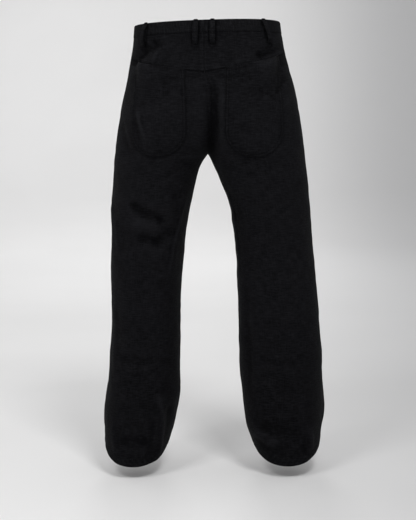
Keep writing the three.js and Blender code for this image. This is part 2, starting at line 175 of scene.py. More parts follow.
# Soft folds that the solids share: face, across, up, across and up at the end, reach, lift.
LEFT_FOLDS = [
    ("back", 168, -84, 122, -46, 16, -11),
    ("back", 202, -205, 186, -294, 20, -3),
    ("back", 153, -202, 135, -266, 20, 3),
    ("back", 164, -428, 108, -458, 15, -8),
    ("back", 158, -472, 126, -467, 18, 6),
    ("back", 146, -504, 113, -509, 15, -6),
    ("back", 113, -509, 84, -488, 14, -6),
    ("back", 192, -795, 92, -803, 15, -3.5),
    ("back", 106, -891, 114, -1050, 14, 6),
    ("back", 84, -920, 96, -1010, 12, -5),
    ("back", 190, -990, 149, -990, 15, -5),
    ("outer", 50, -440, 62, -550, 16, 4),
    ("inner", 64, -417, 70, -589, 16, 3),
    ("front", 95, -345, 40, -300, 22, -5),
    ("front", 150, -560, 95, -585, 20, -5),
    ("front", 215, -980, 130, -960, 22, -5),
    ("front", 210, -930, 150, -915, 22, 5),
    ("outer", -20, -880, 10, -960, 20, 4),
]
RIGHT_FOLDS = [
    ("back", 168, -60, 132, -76, 14, -9),
    ("back", 181, -125, 165, -164, 18, -3),
    ("inner", 40, -368, 30, -467, 16, 2),
    ("inner", 30, -467, 34, -607, 16, 2),
    ("back", 94, -630, 106, -900, 14, -3),
    ("back", 106, -947, 128, -980, 14, 7),
    ("back", 128, -980, 160, -996, 14, 6),
    ("back", 150, -955, 215, -968, 18, -4),
    ("back", 249, -969, 253, -1029, 14, 5),
    ("front", 100, -345, 42, -300, 22, -5),
    ("front", 165, -575, 110, -555, 20, -4),
    ("front", 230, -985, 140, -965, 22, -5),
    ("front", 225, -935, 165, -920, 22, 5),
    ("outer", -60, -860, -20, -950, 20, 4),
]

# Finer creases of the shells: face, a curve of (across, up) places, reach, lift.
LEFT_CREASES = [
    ("back", [(170, -424), (146, -437), (126, -449), (104, -459)], 12, 1.6),
    ("back", [(152, -503), (128, -508), (108, -506), (84, -488)], 12, 1.2),
    ("back", [(205, -452), (196, -500), (200, -556)], 9, -1.2),
    ("back", [(217, -448), (214, -492), (209, -552)], 4.5, 2.4),
    ("back", [(221, -590), (222, -700), (222, -800), (216, -884)], 7, 1.5),
    ("back", [(214, -640), (212, -720), (209, -800)], 9, -1.3),
    ("inner", [(58, -410), (64, -472), (72, -540), (76, -596)], 5, 2.6),
    ("back", [(66, -440), (74, -500), (86, -560)], 9, -1.6),
    ("back", [(198, -793), (160, -801), (128, -804), (90, -801)], 12, 1.4),
    ("back", [(190, -806), (150, -813), (112, -813)], 9, 1.0),
    ("back", [(205, -822), (170, -830), (140, -826)], 7, -0.8),
    ("back", [(106, -888), (105, -945), (113, -1020), (130, -1052)], 6, 3.0),
    ("back", [(90, -900), (92, -955), (102, -1016)], 7, -2.6),
    ("back", [(126, -930), (128, -985), (140, -1030)], 9, -1.6),
    ("back", [(198, -988), (172, -992), (146, -989)], 12, 1.2),
    ("back", [(226, -930), (224, -985), (212, -1040)], 7, 2.0),
    ("back", [(205, -198), (196, -245), (180, -300)], 8, -2.4),
    ("back", [(156, -196), (148, -232), (135, -270)], 5.5, 2.4),
    ("back", [(164, -210), (158, -246), (146, -286)], 7, -1.6),
    ("back", [(178, -98), (164, -84), (148, -70), (136, -62)], 10, -3.2),
    ("back", [(138, -54), (124, -42), (108, -32)], 11, 3.0),
    ("back", [(123, -98), (119, -80), (112, -60)], 4.5, 2.6),
    ("back", [(60, -330), (90, -352), (128, -362)], 10, -1.2),
    ("front", [(30, -290), (62, -330), (104, -352)], 10, -2.6),
    ("front", [(28, -316), (66, -352), (98, -366)], 9, 1.8),
    ("front", [(40, -262), (84, -286), (126, -296)], 12, -2.0),
    ("front", [(160, -556), (128, -578), (96, -584)], 9, -2.6),
    ("front", [(168, -600), (136, -612), (110, -606)], 10, 1.6),
    ("front", [(212, -975), (176, -984), (134, -962)], 10, -2.4),
    ("front", [(205, -932), (178, -926), (150, -912)], 10, 2.2),
    ("front", [(120, -870), (112, -930), (118, -990)], 9, 2.0),
    ("outer", [(52, -438), (58, -490), (64, -548)], 9, 0.8),
    ("outer", [(-22, -876), (-8, -920), (12, -962)], 9, 0.9),
    ("outer", [(-40, -640), (-20, -700), (-10, -760)], 12, -0.6),
]
RIGHT_CREASES = [
    ("inner", [(52, -366), (48, -420), (42, -480), (38, -545), (36, -612)], 5.5, 2.4),
    ("back", [(60, -380), (80, -440), (88, -510)], 9, -1.4),
    ("back", [(92, -600), (98, -700), (103, -800), (106, -902)], 10, -1.8),
    ("back", [(88, -560), (84, -680), (86, -800)], 7, 1.2),
    ("back", [(104, -944), (112, -962), (130, -980), (160, -996)], 8, -1.2),
    ("back", [(112, -932), (130, -956), (164, -972)], 9, -0.8),
    ("back", [(120, -986), (140, -1004), (168, -1012)], 8, -1.8),
    ("back", [(249, -962), (253, -996), (250, -1034)], 6, 2.6),
    ("back", [(236, -970), (238, -1004), (234, -1036)], 7, -1.8),
    ("back", [(184, -120), (176, -144), (164, -168)], 8, -2.2),
    ("back", [(204, -170), (206, -220), (200, -280)], 9, -1.4),
    ("back", [(218, -196), (222, -244), (224, -300)], 6, 1.6),
    ("back", [(168, -66), (150, -72), (126, -82)], 8, -2.4),
    ("back", [(50, -322), (86, -346), (126, -352)], 10, -1.2),
    ("back", [(130, -420), (170, -432), (204, -424)], 12, -1.0),
    ("back", [(120, -780), (170, -800), (224, -792)], 10, -1.0),
    ("back", [(150, -930), (190, -942), (236, -934)], 10, -1.4),
    ("front", [(32, -288), (66, -330), (110, -354)], 10, -2.8),
    ("front", [(30, -318), (70, -350), (104, -370)], 9, 1.8),
    ("front", [(44, -258), (90, -284), (134, -292)], 12, -2.0),
    ("front", [(172, -572), (142, -566), (108, -552)], 9, -2.2),
    ("front", [(180, -600), (150, -610), (120, -600)], 10, 1.6),
    ("front", [(228, -980), (188, -984), (142, -966)], 10, -2.4),
    ("front", [(222, -938), (194, -930), (164, -918)], 10, 2.2),
    ("front", [(130, -880), (124, -940), (132, -1000)], 9, 2.0),
    ("outer", [(-62, -856), (-44, -904), (-18, -952)], 9, 0.9),
    ("outer", [(30, -480), (36, -540), (30, -600)], 12, -0.6),
]

# The seat sinks along that seam, by these depths, and is deepest a little to the right of it.
SEAT_SINK = table(["height", "depth"], [
    (20, 0),
    (-95, 0),
    (-115, 2),
    (-130, 4.5),
    (-160, 8.5),
    (-200, 12.5),
    (-240, 15.5),
    (-280, 16),
    (CROTCH, 13),
    (-340, 5),
    (-370, 0),
])
SEAT_SINK_ASIDE, SEAT_SINK_REACH = 5, 18


@dataclass
class Side:
    """One half of the jeans. Its x runs outwards from the centre plane."""

    name: str
    sign: int
    sections: dict
    folds: list
    creases: list
    seam_angle: float


SIDES = {
    "left": Side("left", 1, LEFT_SECTIONS, LEFT_FOLDS, LEFT_CREASES, math.radians(14)),
    "right": Side("right", -1, RIGHT_SECTIONS, RIGHT_FOLDS, RIGHT_CREASES, math.radians(4)),
}

# ---- Small maths ----


def smoothstep(value, start, end):
    t = np.clip((value - start) / (end - start), 0, 1)
    return t * t * (3 - 2 * t)


def lerp(a, b, t):
    return a + (b - a) * t


def power(value, exponent):
    return np.sign(value) * np.abs(value) ** exponent


def bell(distance, reach):
    return np.exp(-((distance / reach) ** 2))


def smooth(rows, column, height):
    """A smooth curve through one column of a table whose heights run downwards."""
    level, value = rows["height"], rows[column]
    last = len(level) - 1
    height = np.asarray(height, float)
    i = np.searchsorted(-level[1:last], -height, side="left")
    span = level[i + 1] - level[i]
    t = np.clip((height - level[i]) / span, 0, 1)
    before, after = np.maximum(i - 1, 0), np.minimum(i + 2, last)
    leave = (value[i + 1] - value[before]) / (level[i + 1] - level[before]) * span
    arrive = (value[after] - value[i]) / (level[after] - level[i]) * span
    bend = t * (1 - t) * (leave * (1 - t) - arrive * t)
    return lerp(value[i], value[i + 1], t * t * (3 - 2 * t)) + bend


# ---- The cloth surface ----

PROBE = 0.01
NEAR_END = 0.99
STRIDE = 6

# How far beside the centre seam, and over what height at the crotch, the cloth is held to it.
SEAM_HOLD, SEAM_HOLD_RISE = 16, 24

CREASE_STEPS = 9
CREASE_MARGIN = 3
CREASE_TAPER = (-0.02, 0.3)
SHOULDER = 0.45


def section(side, height):
    """The oval at each height, and the reach of its angle to where the centre seam cuts it off."""
    inner, outer, front, rear = (
        smooth(side.sections, column, height) for column in SECTION_COLUMNS[1:]
    )
    middle, half_width = (inner + outer) / 2, (outer - inner) / 2
    cut = np.minimum((middle - CENTRE_SEAM) / half_width, 1)
    reach = math.pi - np.arccos(power(cut, SQUARENESS / 2))
    return middle, half_width, (front + rear) / 2, (rear - front) / 2, reach


def surface(side, angle, height, out=0.0, fine=True):
    """Points at angles round the sections, moved out of the cloth, as an array of x, y and z.

    Beside a centre seam the cloth only moves to the front or the back, so the seam stays shut.
    """
    return spots(side, angle, height, fine).moved(out)


@dataclass
class Spots:
    """Points on the cloth and the level directions out of it."""

    points: np.ndarray
    outward: np.ndarray

    def moved(self, out):
        return self.points + self.outward * np.asarray(out, float)[..., None]


def spots(side, angle, height, fine=True):
    """The cloth at angles round the sections: the oval, then its folds, drift and sunk seat."""
    angle, height = np.broadcast_arrays(np.asarray(angle, float), np.asarray(height, float))
    middle, half_width, centre, half_depth, _ = section(side, height)
    c, s = np.cos(angle), np.sin(angle)
    x = middle + half_width * power(c, 2 / SQUARENESS)
    y = centre + half_depth * power(s, 2 / SQUARENESS)
    nx = power(c, 2 - 2 / SQUARENESS) / half_width
    ny = power(s, 2 - 2 / SQUARENESS) / half_depth
    size = np.hypot(nx, ny)
    nx, ny = nx / size, ny / size
    lift = fold_lift(side, x, y, height, nx, ny)
    if fine:
        lift = lift + crease_lift(side, x, y, height, nx, ny) + unevenness(side, x, y, height)
    by_seam = 1 - smoothstep(np.abs(x), 0, SEAM_HOLD)
    held = by_seam * smoothstep(height, CROTCH - SEAM_HOLD_RISE, CROTCH)
    px = side.sign * (x + nx * lift * (1 - held)) + drift(x, y, height)
    nx = nx * (1 - by_seam * smoothstep(height, CROTCH, CROTCH + SEAM_HOLD_RISE))
    py = y + ny * lift - seat_sink(side.sign * x + SEAT_SINK_ASIDE, y, height)
    points = np.stack([px, py, height], -1)
    outward = np.stack([side.sign * nx, ny, np.zeros_like(nx)], -1)
    return Spots(points, outward)


def drift(x, y, height):
    near_centre = 1 - smoothstep(np.abs(x), 0, DRIFT_X)
    return smooth(DRIFT, "shift", height) * near_centre * smoothstep(y, 0, DRIFT_Y)


def seat_sink(from_deepest, y, height):
    near_seam = bell(from_deepest, SEAT_SINK_REACH)
    return smooth(SEAT_SINK, "depth", height) * near_seam * smoothstep(y, 0, DRIFT_Y)


def facing_of(x, y, nx, ny):
    """For each face of a leg, how far a point turns to it, and its place across it."""
    return {
        "back": (ny, x),
        "front": (-ny, x),
        "outer": (nx, y),
        "inner": (-nx, y),
    }


def fold_lift(side, x, y, height, nx, ny):
    faces = facing_of(x, y, nx, ny)
    lift = np.zeros_like(x)
    for face, across, up, across_end, up_end, reach, amount in side.folds:
        turned, place = faces[face]
        run = across_end - across, up_end - up
        dx, dz = place - across, height - up
        along = np.clip((dx * run[0] + dz * run[1]) / (run[0] ** 2 + run[1] ** 2), 0, 1)
        away = np.hypot(dx - run[0] * along, dz - run[1] * along)
        lift += amount * np.maximum(turned, 0) * bell(away, reach)
    return lift


def crease_lift(side, x, y, height, nx, ny):
    """Creases along curves, with soft shoulders, that run out at their ends."""
    faces = facing_of(x, y, nx, ny)
    lift = np.zeros_like(x)
    for face, places, reach, amount in side.creases:
        turned, place = faces[face]
        curve = spline(np.array(places, float), CREASE_STEPS)
        margin = CREASE_MARGIN * reach
        near = (
            (turned > 0)
            & (place > curve[:, 0].min() - margin)
            & (place < curve[:, 0].max() + margin)
            & (height > curve[:, 1].min() - margin)
            & (height < curve[:, 1].max() + margin)
        )
        if not near.any():
            continue
        away, along = distance_to(curve, place[near], height[near])
        ends = np.minimum(along, 1 - along)
        taper = smoothstep(ends, *CREASE_TAPER)
        lift[near] += amount * np.sqrt(turned[near]) * taper * shoulder(away / reach)
    return lift


def shoulder(d):
    """A trough or ridge that turns a little the other way beside it."""
    return (1 - SHOULDER * d * d) * np.exp(-d * d)


def spline(places, steps):
    """A Catmull-Rom curve through places."""
    ends = np.vstack([2 * places[0] - places[1], places, 2 * places[-1] - places[-2]])
    out = []
    for a, b, c, d in zip(ends, ends[1:], ends[2:], ends[3:]):
        t = np.linspace(0, 1, steps, endpoint=False)[:, None]
        cubic = (3 * (b - c) + d - a) * t**3 + (2 * a - 5 * b + 4 * c - d) * t**2
        out.append((cubic + (c - a) * t + 2 * b) / 2)
    return np.vstack(out + [places[-1:]])


def distance_to(curve, across, up):
    """The least distance from points to a curve, and how far along it that is, from 0 to 1."""
    best = np.full(across.shape, np.inf)
    along = np.zeros_like(best)
    steps = len(curve) - 1
    for i, (a, b) in enumerate(zip(curve, curve[1:])):
        run = b - a
        dx, dz = across - a[0], up - a[1]
        t = np.clip((dx * run[0] + dz * run[1]) / run.dot(run), 0, 1)
        away = np.hypot(dx - run[0] * t, dz - run[1] * t)
        closer = away < best
        best[closer] = away[closer]
        along[closer] = (i + t[closer]) / steps
    return best, along


WAVES = 26
WAVE_LENGTHS = (26, 120)
WAVE_HEIGHT = 0.075
WAVE_UPRIGHT = 1.7
wave_random = np.random.default_rng(7)
WAVE_TURNS = wave_random.normal(size=(WAVES, 3))
WAVE_TURNS[:, 2] *= WAVE_UPRIGHT
WAVE_TURNS /= np.linalg.norm(WAVE_TURNS, axis=1)[:, None]
WAVE_SIZES = np.geomspace(*WAVE_LENGTHS, WAVES)
WAVE_STARTS = wave_random.uniform(0, 2 * math.pi, WAVES)


def unevenness(side, x, y, height):
    """Soft dents all over, as heavy cloth takes in wear. The longer ones are the deeper."""
    place = np.stack([side.sign * x, y, height], -1)
    total = np.zeros_like(x)
    for turn, size, start in zip(WAVE_TURNS, WAVE_SIZES, WAVE_STARTS):
        wave = np.sin(place @ turn * (2 * math.pi / size) + start)
        total += wave * (size / WAVE_LENGTHS[0]) ** 0.5
    return total * WAVE_HEIGHT


def step_angle(side, height, angle, distance):
    """The angle that lies a short way round the section from another one."""
    probe = np.where(np.asarray(distance) < 0, -PROBE, PROBE)
    here = surface(side, angle, height, fine=False)
    there = surface(side, angle + probe, height, fine=False)
    run = np.linalg.norm(there - here, axis=-1)
    return angle + probe * np.abs(distance) / run


def walk(side, height, angle, distance):
    """The angle at a longer distance round the section, taken in short strides."""
    strides = max(math.ceil(np.abs(distance).max() / STRIDE), 1)
    for _ in range(strides):
        angle = step_angle(side, height, angle, distance / strides)
    return angle


def angle_at_x(side, height, x, facing):
    """Where the back or the front face passes a given distance from the centre plane."""
    middle, half_width = section(side, height)[:2]
    return facing * np.arccos(power((x - middle) / half_width, SQUARENESS / 2))


def centre_edge(side, height, facing):
    """The last angle of a panel at its centre seam or its inseam."""
    end = facing * section(side, height)[4]
    here = surface(side, end, height, fine=False)
    inward = surface(side, end * NEAR_END, height, fine=False) - here
    runs_in_depth = np.abs(inward[..., 1]) / np.linalg.norm(inward, axis=-1)
    stepped = step_angle(side, height, end, -facing * CENTRE_SEAM)
    return lerp(end, stepped, runs_in_depth)


# ---- Edges, as heights ----


def waist_edge(x, y):
    """The band's top edge, higher at the back than at the front."""
    part = y / WAIST_DEPTH
    tilt = (BACK_RISE + FRONT_DIP) / 2 * part
    bow = (BACK_RISE - FRONT_DIP) / 2 * part * part
    return WAIST_LEVEL + WAIST_ROLL * x + tilt + bow


def below_waist(side, angle, drop):
    point = surface(side, angle, -np.asarray(drop, float), fine=False)
    return waist_edge(point[..., 0], point[..., 1]) - drop


def yoke_edge(side, angle):
    """The seam under the yoke, deepest at the centre back."""
    centre = section(side, -YOKE_CENTRE_DROP)[4]
    t = np.clip((angle - side.seam_angle) / (centre - side.seam_angle), 0, 1)
    return below_waist(side, angle, lerp(YOKE_SIDE_DROP[side.name], YOKE_CENTRE_DROP, t))


def hem_slant(side, angle):
    """How far the hem lies below its level, lower at the back."""
    middle, _, centre, _, _ = section(side, HEM_LEVEL)
    point = surface(side, angle, HEM_LEVEL, fine=False)
    outwards = side.sign * point[..., 0] - middle
    return -HEM_SLOPE * (point[..., 1] - centre) - HEM_ROLL[side.name] * outwards


def fit_edges(side, row, angle, top_row, top_edge):
    """A row takes up the slant of the panel's top edge near the top and of the hem near it."""
    near_top = np.clip(1 - (top_row - row) / TOP_EASE, 0, 1)
    near_hem = np.clip((HEM_START - row) / (HEM_START - HEM_LEVEL), 0, 1)
    return row + near_top * (top_edge(angle) - top_row) + near_hem * hem_slant(side, angle)


def row_dip(row, part):
    """How far a row drops toward the centre, so that rows fan out round the crotch."""
    rise = RISE_TOP - CROTCH
    down = np.clip((RISE_TOP - row) / rise, 0, 1)
    return rise * (np.sin(down * math.pi / 2) - down) * part * part


# ---- Grids of cloth and their meshes ----

RIM = [0, 0.35, 0.9, 1.8, 3.0, 4.6, 6.6, 8.2, 9.4, 11.5]
RIM_SHARE = 0.45
SHARP_FOLD = math.radians(60)
GRAIN_SHIFT = 900


class Cloth:
    """A grid of points that runs across a piece in columns and down it in rows."""

    def __init__(self, spots_, relief):
        base = spots_.points
        self.across = measured(base, 1)
        self.down = measured(base, 0)
        self.width = self.across[:, -1:]
        self.length = self.down[-1:, :]
        out = relief(self)
        self.points = spots_.moved(out)
        self.outward = spots_.outward
        self.normals = normals_of(self.points, self.outward)

    def lengthwise(self, distance, from_end=False, rows=slice(None)):
        """A path down the piece at a distance from its first or its last column."""
        columns = np.arange(self.points.shape[1])
        picked = []
        for i in np.arange(self.points.shape[0])[rows]:
            target = self.width[i, 0] - distance if from_end else distance
            picked.append((i, np.interp(target, self.across[i], columns)))
        return self.sample(np.array(picked))

    def crosswise(self, distance, from_end=False, columns=slice(None)):
        """A path across the piece at a distance from its first or its last row."""
        rows = np.arange(self.points.shape[0])
        picked = []
        for j in np.arange(self.points.shape[1])[columns]:
            target = self.length[0, j] - distance if from_end else distance
            picked.append((np.interp(target, self.down[:, j], rows), j))
        return self.sample(np.array(picked))

    def places(self, across, down, from_end=False):
        """A path through places measured from the first row and the first or the last column."""
        rows, columns = (np.arange(n) for n in self.points.shape[:2])
        picked = []
        for a, d in np.broadcast(across, down):
            row = 0
            for _ in range(2):
                target = self.width[row, 0] - a if from_end else a
                column = np.interp(target, self.across[row], columns)
                exact = np.interp(d, self.down[:, round(column)], rows)
                row = round(exact)
            picked.append((exact, column))
        return self.sample(np.array(picked))

    def sample(self, at):
        """Points and normals at places given in rows and columns."""
        r, c = at[:, 0], at[:, 1]
        i = np.clip(r.astype(int), 0, self.points.shape[0] - 2)
        j = np.clip(c.astype(int), 0, self.points.shape[1] - 2)
        u, v = (r - i)[:, None], (c - j)[:, None]

        def mix(grid):
            upper = lerp(grid[i, j], grid[i, j + 1], v)
            lower = lerp(grid[i + 1, j], grid[i + 1, j + 1], v)
            return lerp(upper, lower, u)

        return Path(mix(self.points), mix(self.normals))


@dataclass
class Path:
    """A line on the cloth, with the directions out of the cloth along it."""

    points: np.ndarray
    normals: np.ndarray

    def part(self, start, end):
        """The stretch between two distances from its first point."""
        far = measured(self.points, 0)
        at = np.unique(np.concatenate([[start], far[(far > start) & (far < end)], [end]]))
        pick = lambda values: np.stack([np.interp(at, far, v) for v in values.T], -1)
        return Path(pick(self.points), pick(self.normals))

    @property
    def total(self):
        return measured(self.points, 0)[-1]


def measured(points, axis):
    """Distances along rows or columns of points, from the first one."""
    steps = np.linalg.norm(np.diff(points, axis=axis), axis=-1)
    return np.insert(np.cumsum(steps, axis=axis), 0, 0, axis=axis)


def normals_of(points, outward):
    """The normals of a grid of points, on the side that faces outward."""
    normal = np.cross(np.gradient(points, axis=1), np.gradient(points, axis=0))
    normal /= np.maximum(np.linalg.norm(normal, axis=-1), 1e-9)[..., None]
    flip = np.sign((normal * outward).sum(-1))
    return normal * np.where(flip == 0, 1, flip)[..., None]


def rimmed(width, pitch, rim=RIM):
    """Places across each row, closer together at both edges, from 0 to 1."""
    width = np.atleast_1d(width)
    rim = np.array(rim, float)
    count = max(int((width.max() - 2 * rim[-1]) / pitch), 2)
    middle = np.linspace(0, 1, count + 1)[1:-1]
    rows = []
    for w in width:
        edge = rim * min(1, w * RIM_SHARE / rim[-1])
        inside = lerp(edge[-1], w - edge[-1], middle)
        rows.append(np.concatenate([edge, inside, w - edge[::-1]]) / w)
    return np.array(rows)


def new_piece(name, points, faces, *materials):
    """A smooth piece in the scene, from points in metres."""
    mesh = bpy.data.meshes.new(name)
    mesh.from_pydata(points, [], faces)
    for material in materials:
        mesh.materials.append(material)
    mesh.shade_smooth()
    piece = bpy.data.objects.new(name, mesh)
    bpy.context.collection.objects.link(piece)
    return piece


def wall_mesh(name, outer, inner, grain, outside, inside):
    """Joins two grids of points, an outer and an inner face, into one closed wall."""
    rows, columns = outer.shape[:2]
    size = rows * columns
    index = np.arange(size).reshape(rows, columns)
    a, b, c, d = index[:-1, :-1], index[1:, :-1], index[1:, 1:], index[:-1, 1:]
    front = np.stack([a, b, c, d], -1).reshape(-1, 4)
    back = np.stack([d, c, b, a], -1).reshape(-1, 4) + size
    edges = [index[:, 0], index[-1, :], index[::-1, -1], index[0, ::-1]]
    rim = [np.stack([e[:-1], e[:-1] + size, e[1:] + size, e[1:]], -1) for e in edges]
    faces = np.concatenate([front, back] + rim)
    points = np.concatenate([outer.reshape(-1, 3), inner.reshape(-1, 3)])
    if volume_of(points, faces) < 0:
        faces = faces[:, ::-1]
    piece = new_piece(name, (points * MM).tolist(), faces.tolist(), outside, inside)
    slots = np.zeros(len(faces), np.int32)
    slots[len(front):len(front) + len(back)] = 1
    piece.data.polygons.foreach_set("material_index", slots)
    flat = np.concatenate([grain.reshape(-1, 2)] * 2) * MM
    layer = piece.data.uv_layers.new(name="grain")
    layer.uv.foreach_set("vector", flat[faces.ravel()].ravel().astype(np.float32))
    piece.data.set_sharp_from_angle(angle=SHARP_FOLD)
    return piece


def volume_of(points, faces):
    """A number with the sign of the volume that the faces enclose."""
    a, b, c, d = (points[faces[:, i]] for i in range(4))
    return (a * np.cross(b, c)).sum() + (a * np.cross(c, d)).sum()


grain_random = np.random.default_rng(5)


def grain_of(cloth, run):
    """Thread directions of a piece in millimetres: across, and down along the warp.

    The warp runs along the piece, round it where it is turned, or straight down where it hangs.
    """
    across = cloth.across - cloth.width / 2
    down = -cloth.points[..., 2] if run == "hanging" else cloth.down
    grain = np.stack([down, across] if run == "turned" else [across, down], -1)
    return grain + grain_random.uniform(-GRAIN_SHIFT, GRAIN_SHIFT, 2)


# ---- Relief of seams, hems and stitch rows ----

ROLL, ROLL_REACH = 0.8, 1.4
GROOVE, GROOVE_REACH = 0.42, 0.9
LEDGE_STARTS, LEDGE_ENDS = -0.9, 0.5
FELL_WIDTH, FELL_HEIGHT, FELL_ROWS = 9.8, 0.55, (1.8, 8.2)
HEM_DEPTH, HEM_HEIGHT, HEM_ROW = 22, 0.5, 20
ROPE_PITCH, ROPE_LEAN, ROPE_LIFT = 13, 0.55, 0.32
FLY_WIDTH, FLY_STRAIGHT, FLY_DEPTH, FLY_ROWS = 38, 104, 158, (2, 8)
FLY_FADE, FLY_TO_RISE = (0, 4), (-6, 4)
MOUTH_HEM, MOUTH_ROW = 20, 18
BAND_ROWS = (2.2, 25.8)
POCKET_ROWS = (1.9, 8.2)
POCKET_EDGE = FELL_HEIGHT * 0.7
LOOP_ROW, LOOP_TACK = 2.2, 2.6

# Heights, from the crotch: where the fell of the rise starts and is full, where that of an
# inseam is, where the relief of both joins, and where rows of stitches stop on either side.
RISE_FELL = (4, 30)
INSEAM_FELL = (-4, -24)
SEAMS_JOIN = (-18, -2)
RISE_STITCHES, INSEAM_STITCHES = CROTCH + 4, CROTCH - 14


def roll(distance):
    """An edge that turns in to its seam."""
    return -ROLL * bell(distance, ROLL_REACH)


def groove(distance, row):
    """The dent that a row of stitches pulls in."""
    return -GROOVE * bell(distance - row, GROOVE_REACH)


def ledge(distance, width, height):
    """Doubled cloth up to a width from an edge."""
    return height * (1 - smoothstep(distance, width + LEDGE_STARTS, width + LEDGE_ENDS))


def fell(distance):
    """A felled seam: doubled cloth under two rows of stitches."""
    rows_in = sum(groove(distance, row) for row in FELL_ROWS)
    return ledge(distance, FELL_WIDTH, FELL_HEIGHT) + rows_in


def hem(cloth):
    """A turned-up hem, roped by its one row of stitches."""
    up = cloth.length - cloth.down
    phase = 2 * math.pi * (cloth.across + ROPE_LEAN * up) / ROPE_PITCH
    rope = ROPE_LIFT * np.sin(phase) * bell(up - HEM_DEPTH / 2, HEM_DEPTH / 2)
    return ledge(up, HEM_DEPTH, HEM_HEIGHT) + groove(up, HEM_ROW) + roll(up) + rope


# ---- Pieces: their points on the cloth ----

PANEL_PITCH = 3.5
ROW_PITCH = 3.3
TOP_RIM = [0, 0.4, 1.0, 1.8, 2.8, 4.4, 6.4, 8.2, 10.2]
HEM_RIM = [
    0, 0.4, 1.0, 1.9, 3.2, 5.2, 7.6, 10.2, 12.8, 15.2, 17.2, 18.6, 19.4, 20, 20.6, 21.4, 22.2,
    23.4, 25.2,
]
COARSE_COLUMNS = 33
UNDER_CROTCH = 0.08

POCKET_DEPTH = 212
POCKET_ARCH_ROWS, POCKET_ARCH_TIP = 34, 0.9995
POCKET_SIDE_STEPS, POCKET_TURN_STEPS = 40, 60

BAND_PITCH = 2.4
BAND_SHARES = np.concatenate([[0, 0.0012, 0.003, 0.0065], np.linspace(0.012, 1, 220)])

LOOP_RIM = [0, 0.35, 0.9, 1.6, 2.2, 2.8]
LOOP_PITCH = 1.6
LOOP_PARTS = np.linspace(0, 1, 64)[:, None]
LOOP_ROUNDING, LOOP_NARROWING = 4.5, 0.5


def rows_down(top, bottom, first_rim, last_rim, pitch):
    """Rows as heights, closer together at the first and the last edge."""
    start = top - np.array(first_rim, float)
    end = bottom + np.array(last_rim, float)[::-1]
    count = max(int((start[-1] - end[0]) / pitch), 2)
    return np.concatenate([start, np.linspace(start[-1], end[0], count + 1)[1:-1], end])


def through_crotch(rows):
    """Rows with the nearest one moved so that it ends just below the crotch, at the inseam."""
    rows = np.array(rows, float)
    for _ in range(3):
        ends = rows - row_dip(rows, 1)
        nearest = np.argmin(np.abs(ends - CROTCH))
        rows[nearest] += CROTCH - UNDER_CROTCH - ends[nearest]
    return rows


def panel(side, rows, facing, fit, dips=True):
    """A panel from the side seam to the centre back (facing 1) or the centre front (-1)."""
    rows = np.asarray(rows, float)[:, None]

    def angle_at(height, column):
        start = step_angle(side, height, side.seam_angle, facing * HALF_GAP)
        return lerp(start, centre_edge(side, height, facing), column)

    def place(column):
        dipped = rows - row_dip(rows, column) if dips else rows + 0 * column
        height = fit(dipped, angle_at(fit(dipped, side.seam_angle), column))
        return angle_at(height, column), height

    coarse = np.linspace(0, 1, COARSE_COLUMNS)[None, :]
    along = measured(surface(side, *place(coarse), fine=False), 1)
    share = rimmed(along[:, -1], PANEL_PITCH)
    column = np.array([
        np.interp(part * run[-1], run, coarse[0]) for part, run in zip(share, along)
    ])
    return spots(side, *place(column))


def over_crotch(spots_, span):
    """How far along a stretch of heights, measured from the crotch, each point is, from 0 to 1."""
    return smoothstep(spots_.points[..., 2], CROTCH + span[0], CROTCH + span[1])


def seam_share(spots_):
    """How much of a centre edge's relief there is.

    All of it is on an inseam. On the rise it fades where the cloth turns to the other leg, since
    it would open the seam there.
    """
    faced = np.abs(spots_.outward[..., 1]) ** 2
    return lerp(faced, 1, 1 - over_crotch(spots_, SEAMS_JOIN))


def back_cloth(side):
    top_edge = lambda angle: yoke_edge(side, angle) - HALF_GAP
    rows = through_crotch(rows_down(RISE_TOP, HEM_LEVEL, TOP_RIM, HEM_RIM, ROW_PITCH))
    fit = lambda row, angle: fit_edges(side, row, angle, RISE_TOP, top_edge)
    outer = panel(side, rows, 1, fit)

    def relief(cloth):
        from_centre = cloth.width - cloth.across
        felled = 1 if side.name == "left" else over_crotch(outer, INSEAM_FELL)
        centre = (roll(from_centre) + fell(from_centre) * felled) * seam_share(outer)
        return roll(cloth.across) + centre + roll(cloth.down) + hem(cloth)

    return Cloth(outer, relief)


def front_cloth(side):
    top = -BAND_HEIGHT
    top_edge = lambda angle: below_waist(side, angle, BAND_HEIGHT + BAND_SEAM)
    upper = rows_down(top, RISE_TOP, TOP_RIM, [0], ROW_PITCH)
    lower = rows_down(RISE_TOP, HEM_LEVEL, [0], HEM_RIM, ROW_PITCH)
    rows = through_crotch(np.concatenate([upper, lower[1:]]))
    fit = lambda row, angle: fit_edges(side, row, angle, top, top_edge)
    outer = panel(side, rows, -1, fit)

    def relief(cloth):
        from_centre = cloth.width - cloth.across
        fly = 0
        if side.name == "left":
            curved = fly_curve(FLY_WIDTH, cloth.down)
            fly = ledge(from_centre, curved, FELL_HEIGHT) * smoothstep(curved, *FLY_FADE)
            below_fly = smoothstep(cloth.down, *(FLY_DEPTH + end for end in FLY_TO_RISE))
            fly = fly + fell(from_centre) * below_fly * over_crotch(outer, RISE_FELL)
        centre = roll(from_centre) * seam_share(outer)
        return roll(cloth.across) + centre + roll(cloth.down) + hem(cloth) + fly

    return Cloth(outer, relief)


def fly_curve(width, down):
    """How far the fly's stitching lies from the centre front: straight, then curving in to it."""
    past = np.clip((down - FLY_STRAIGHT) / (FLY_DEPTH - FLY_STRAIGHT), 0, 1)
    return width * np.sqrt(1 - past * past)


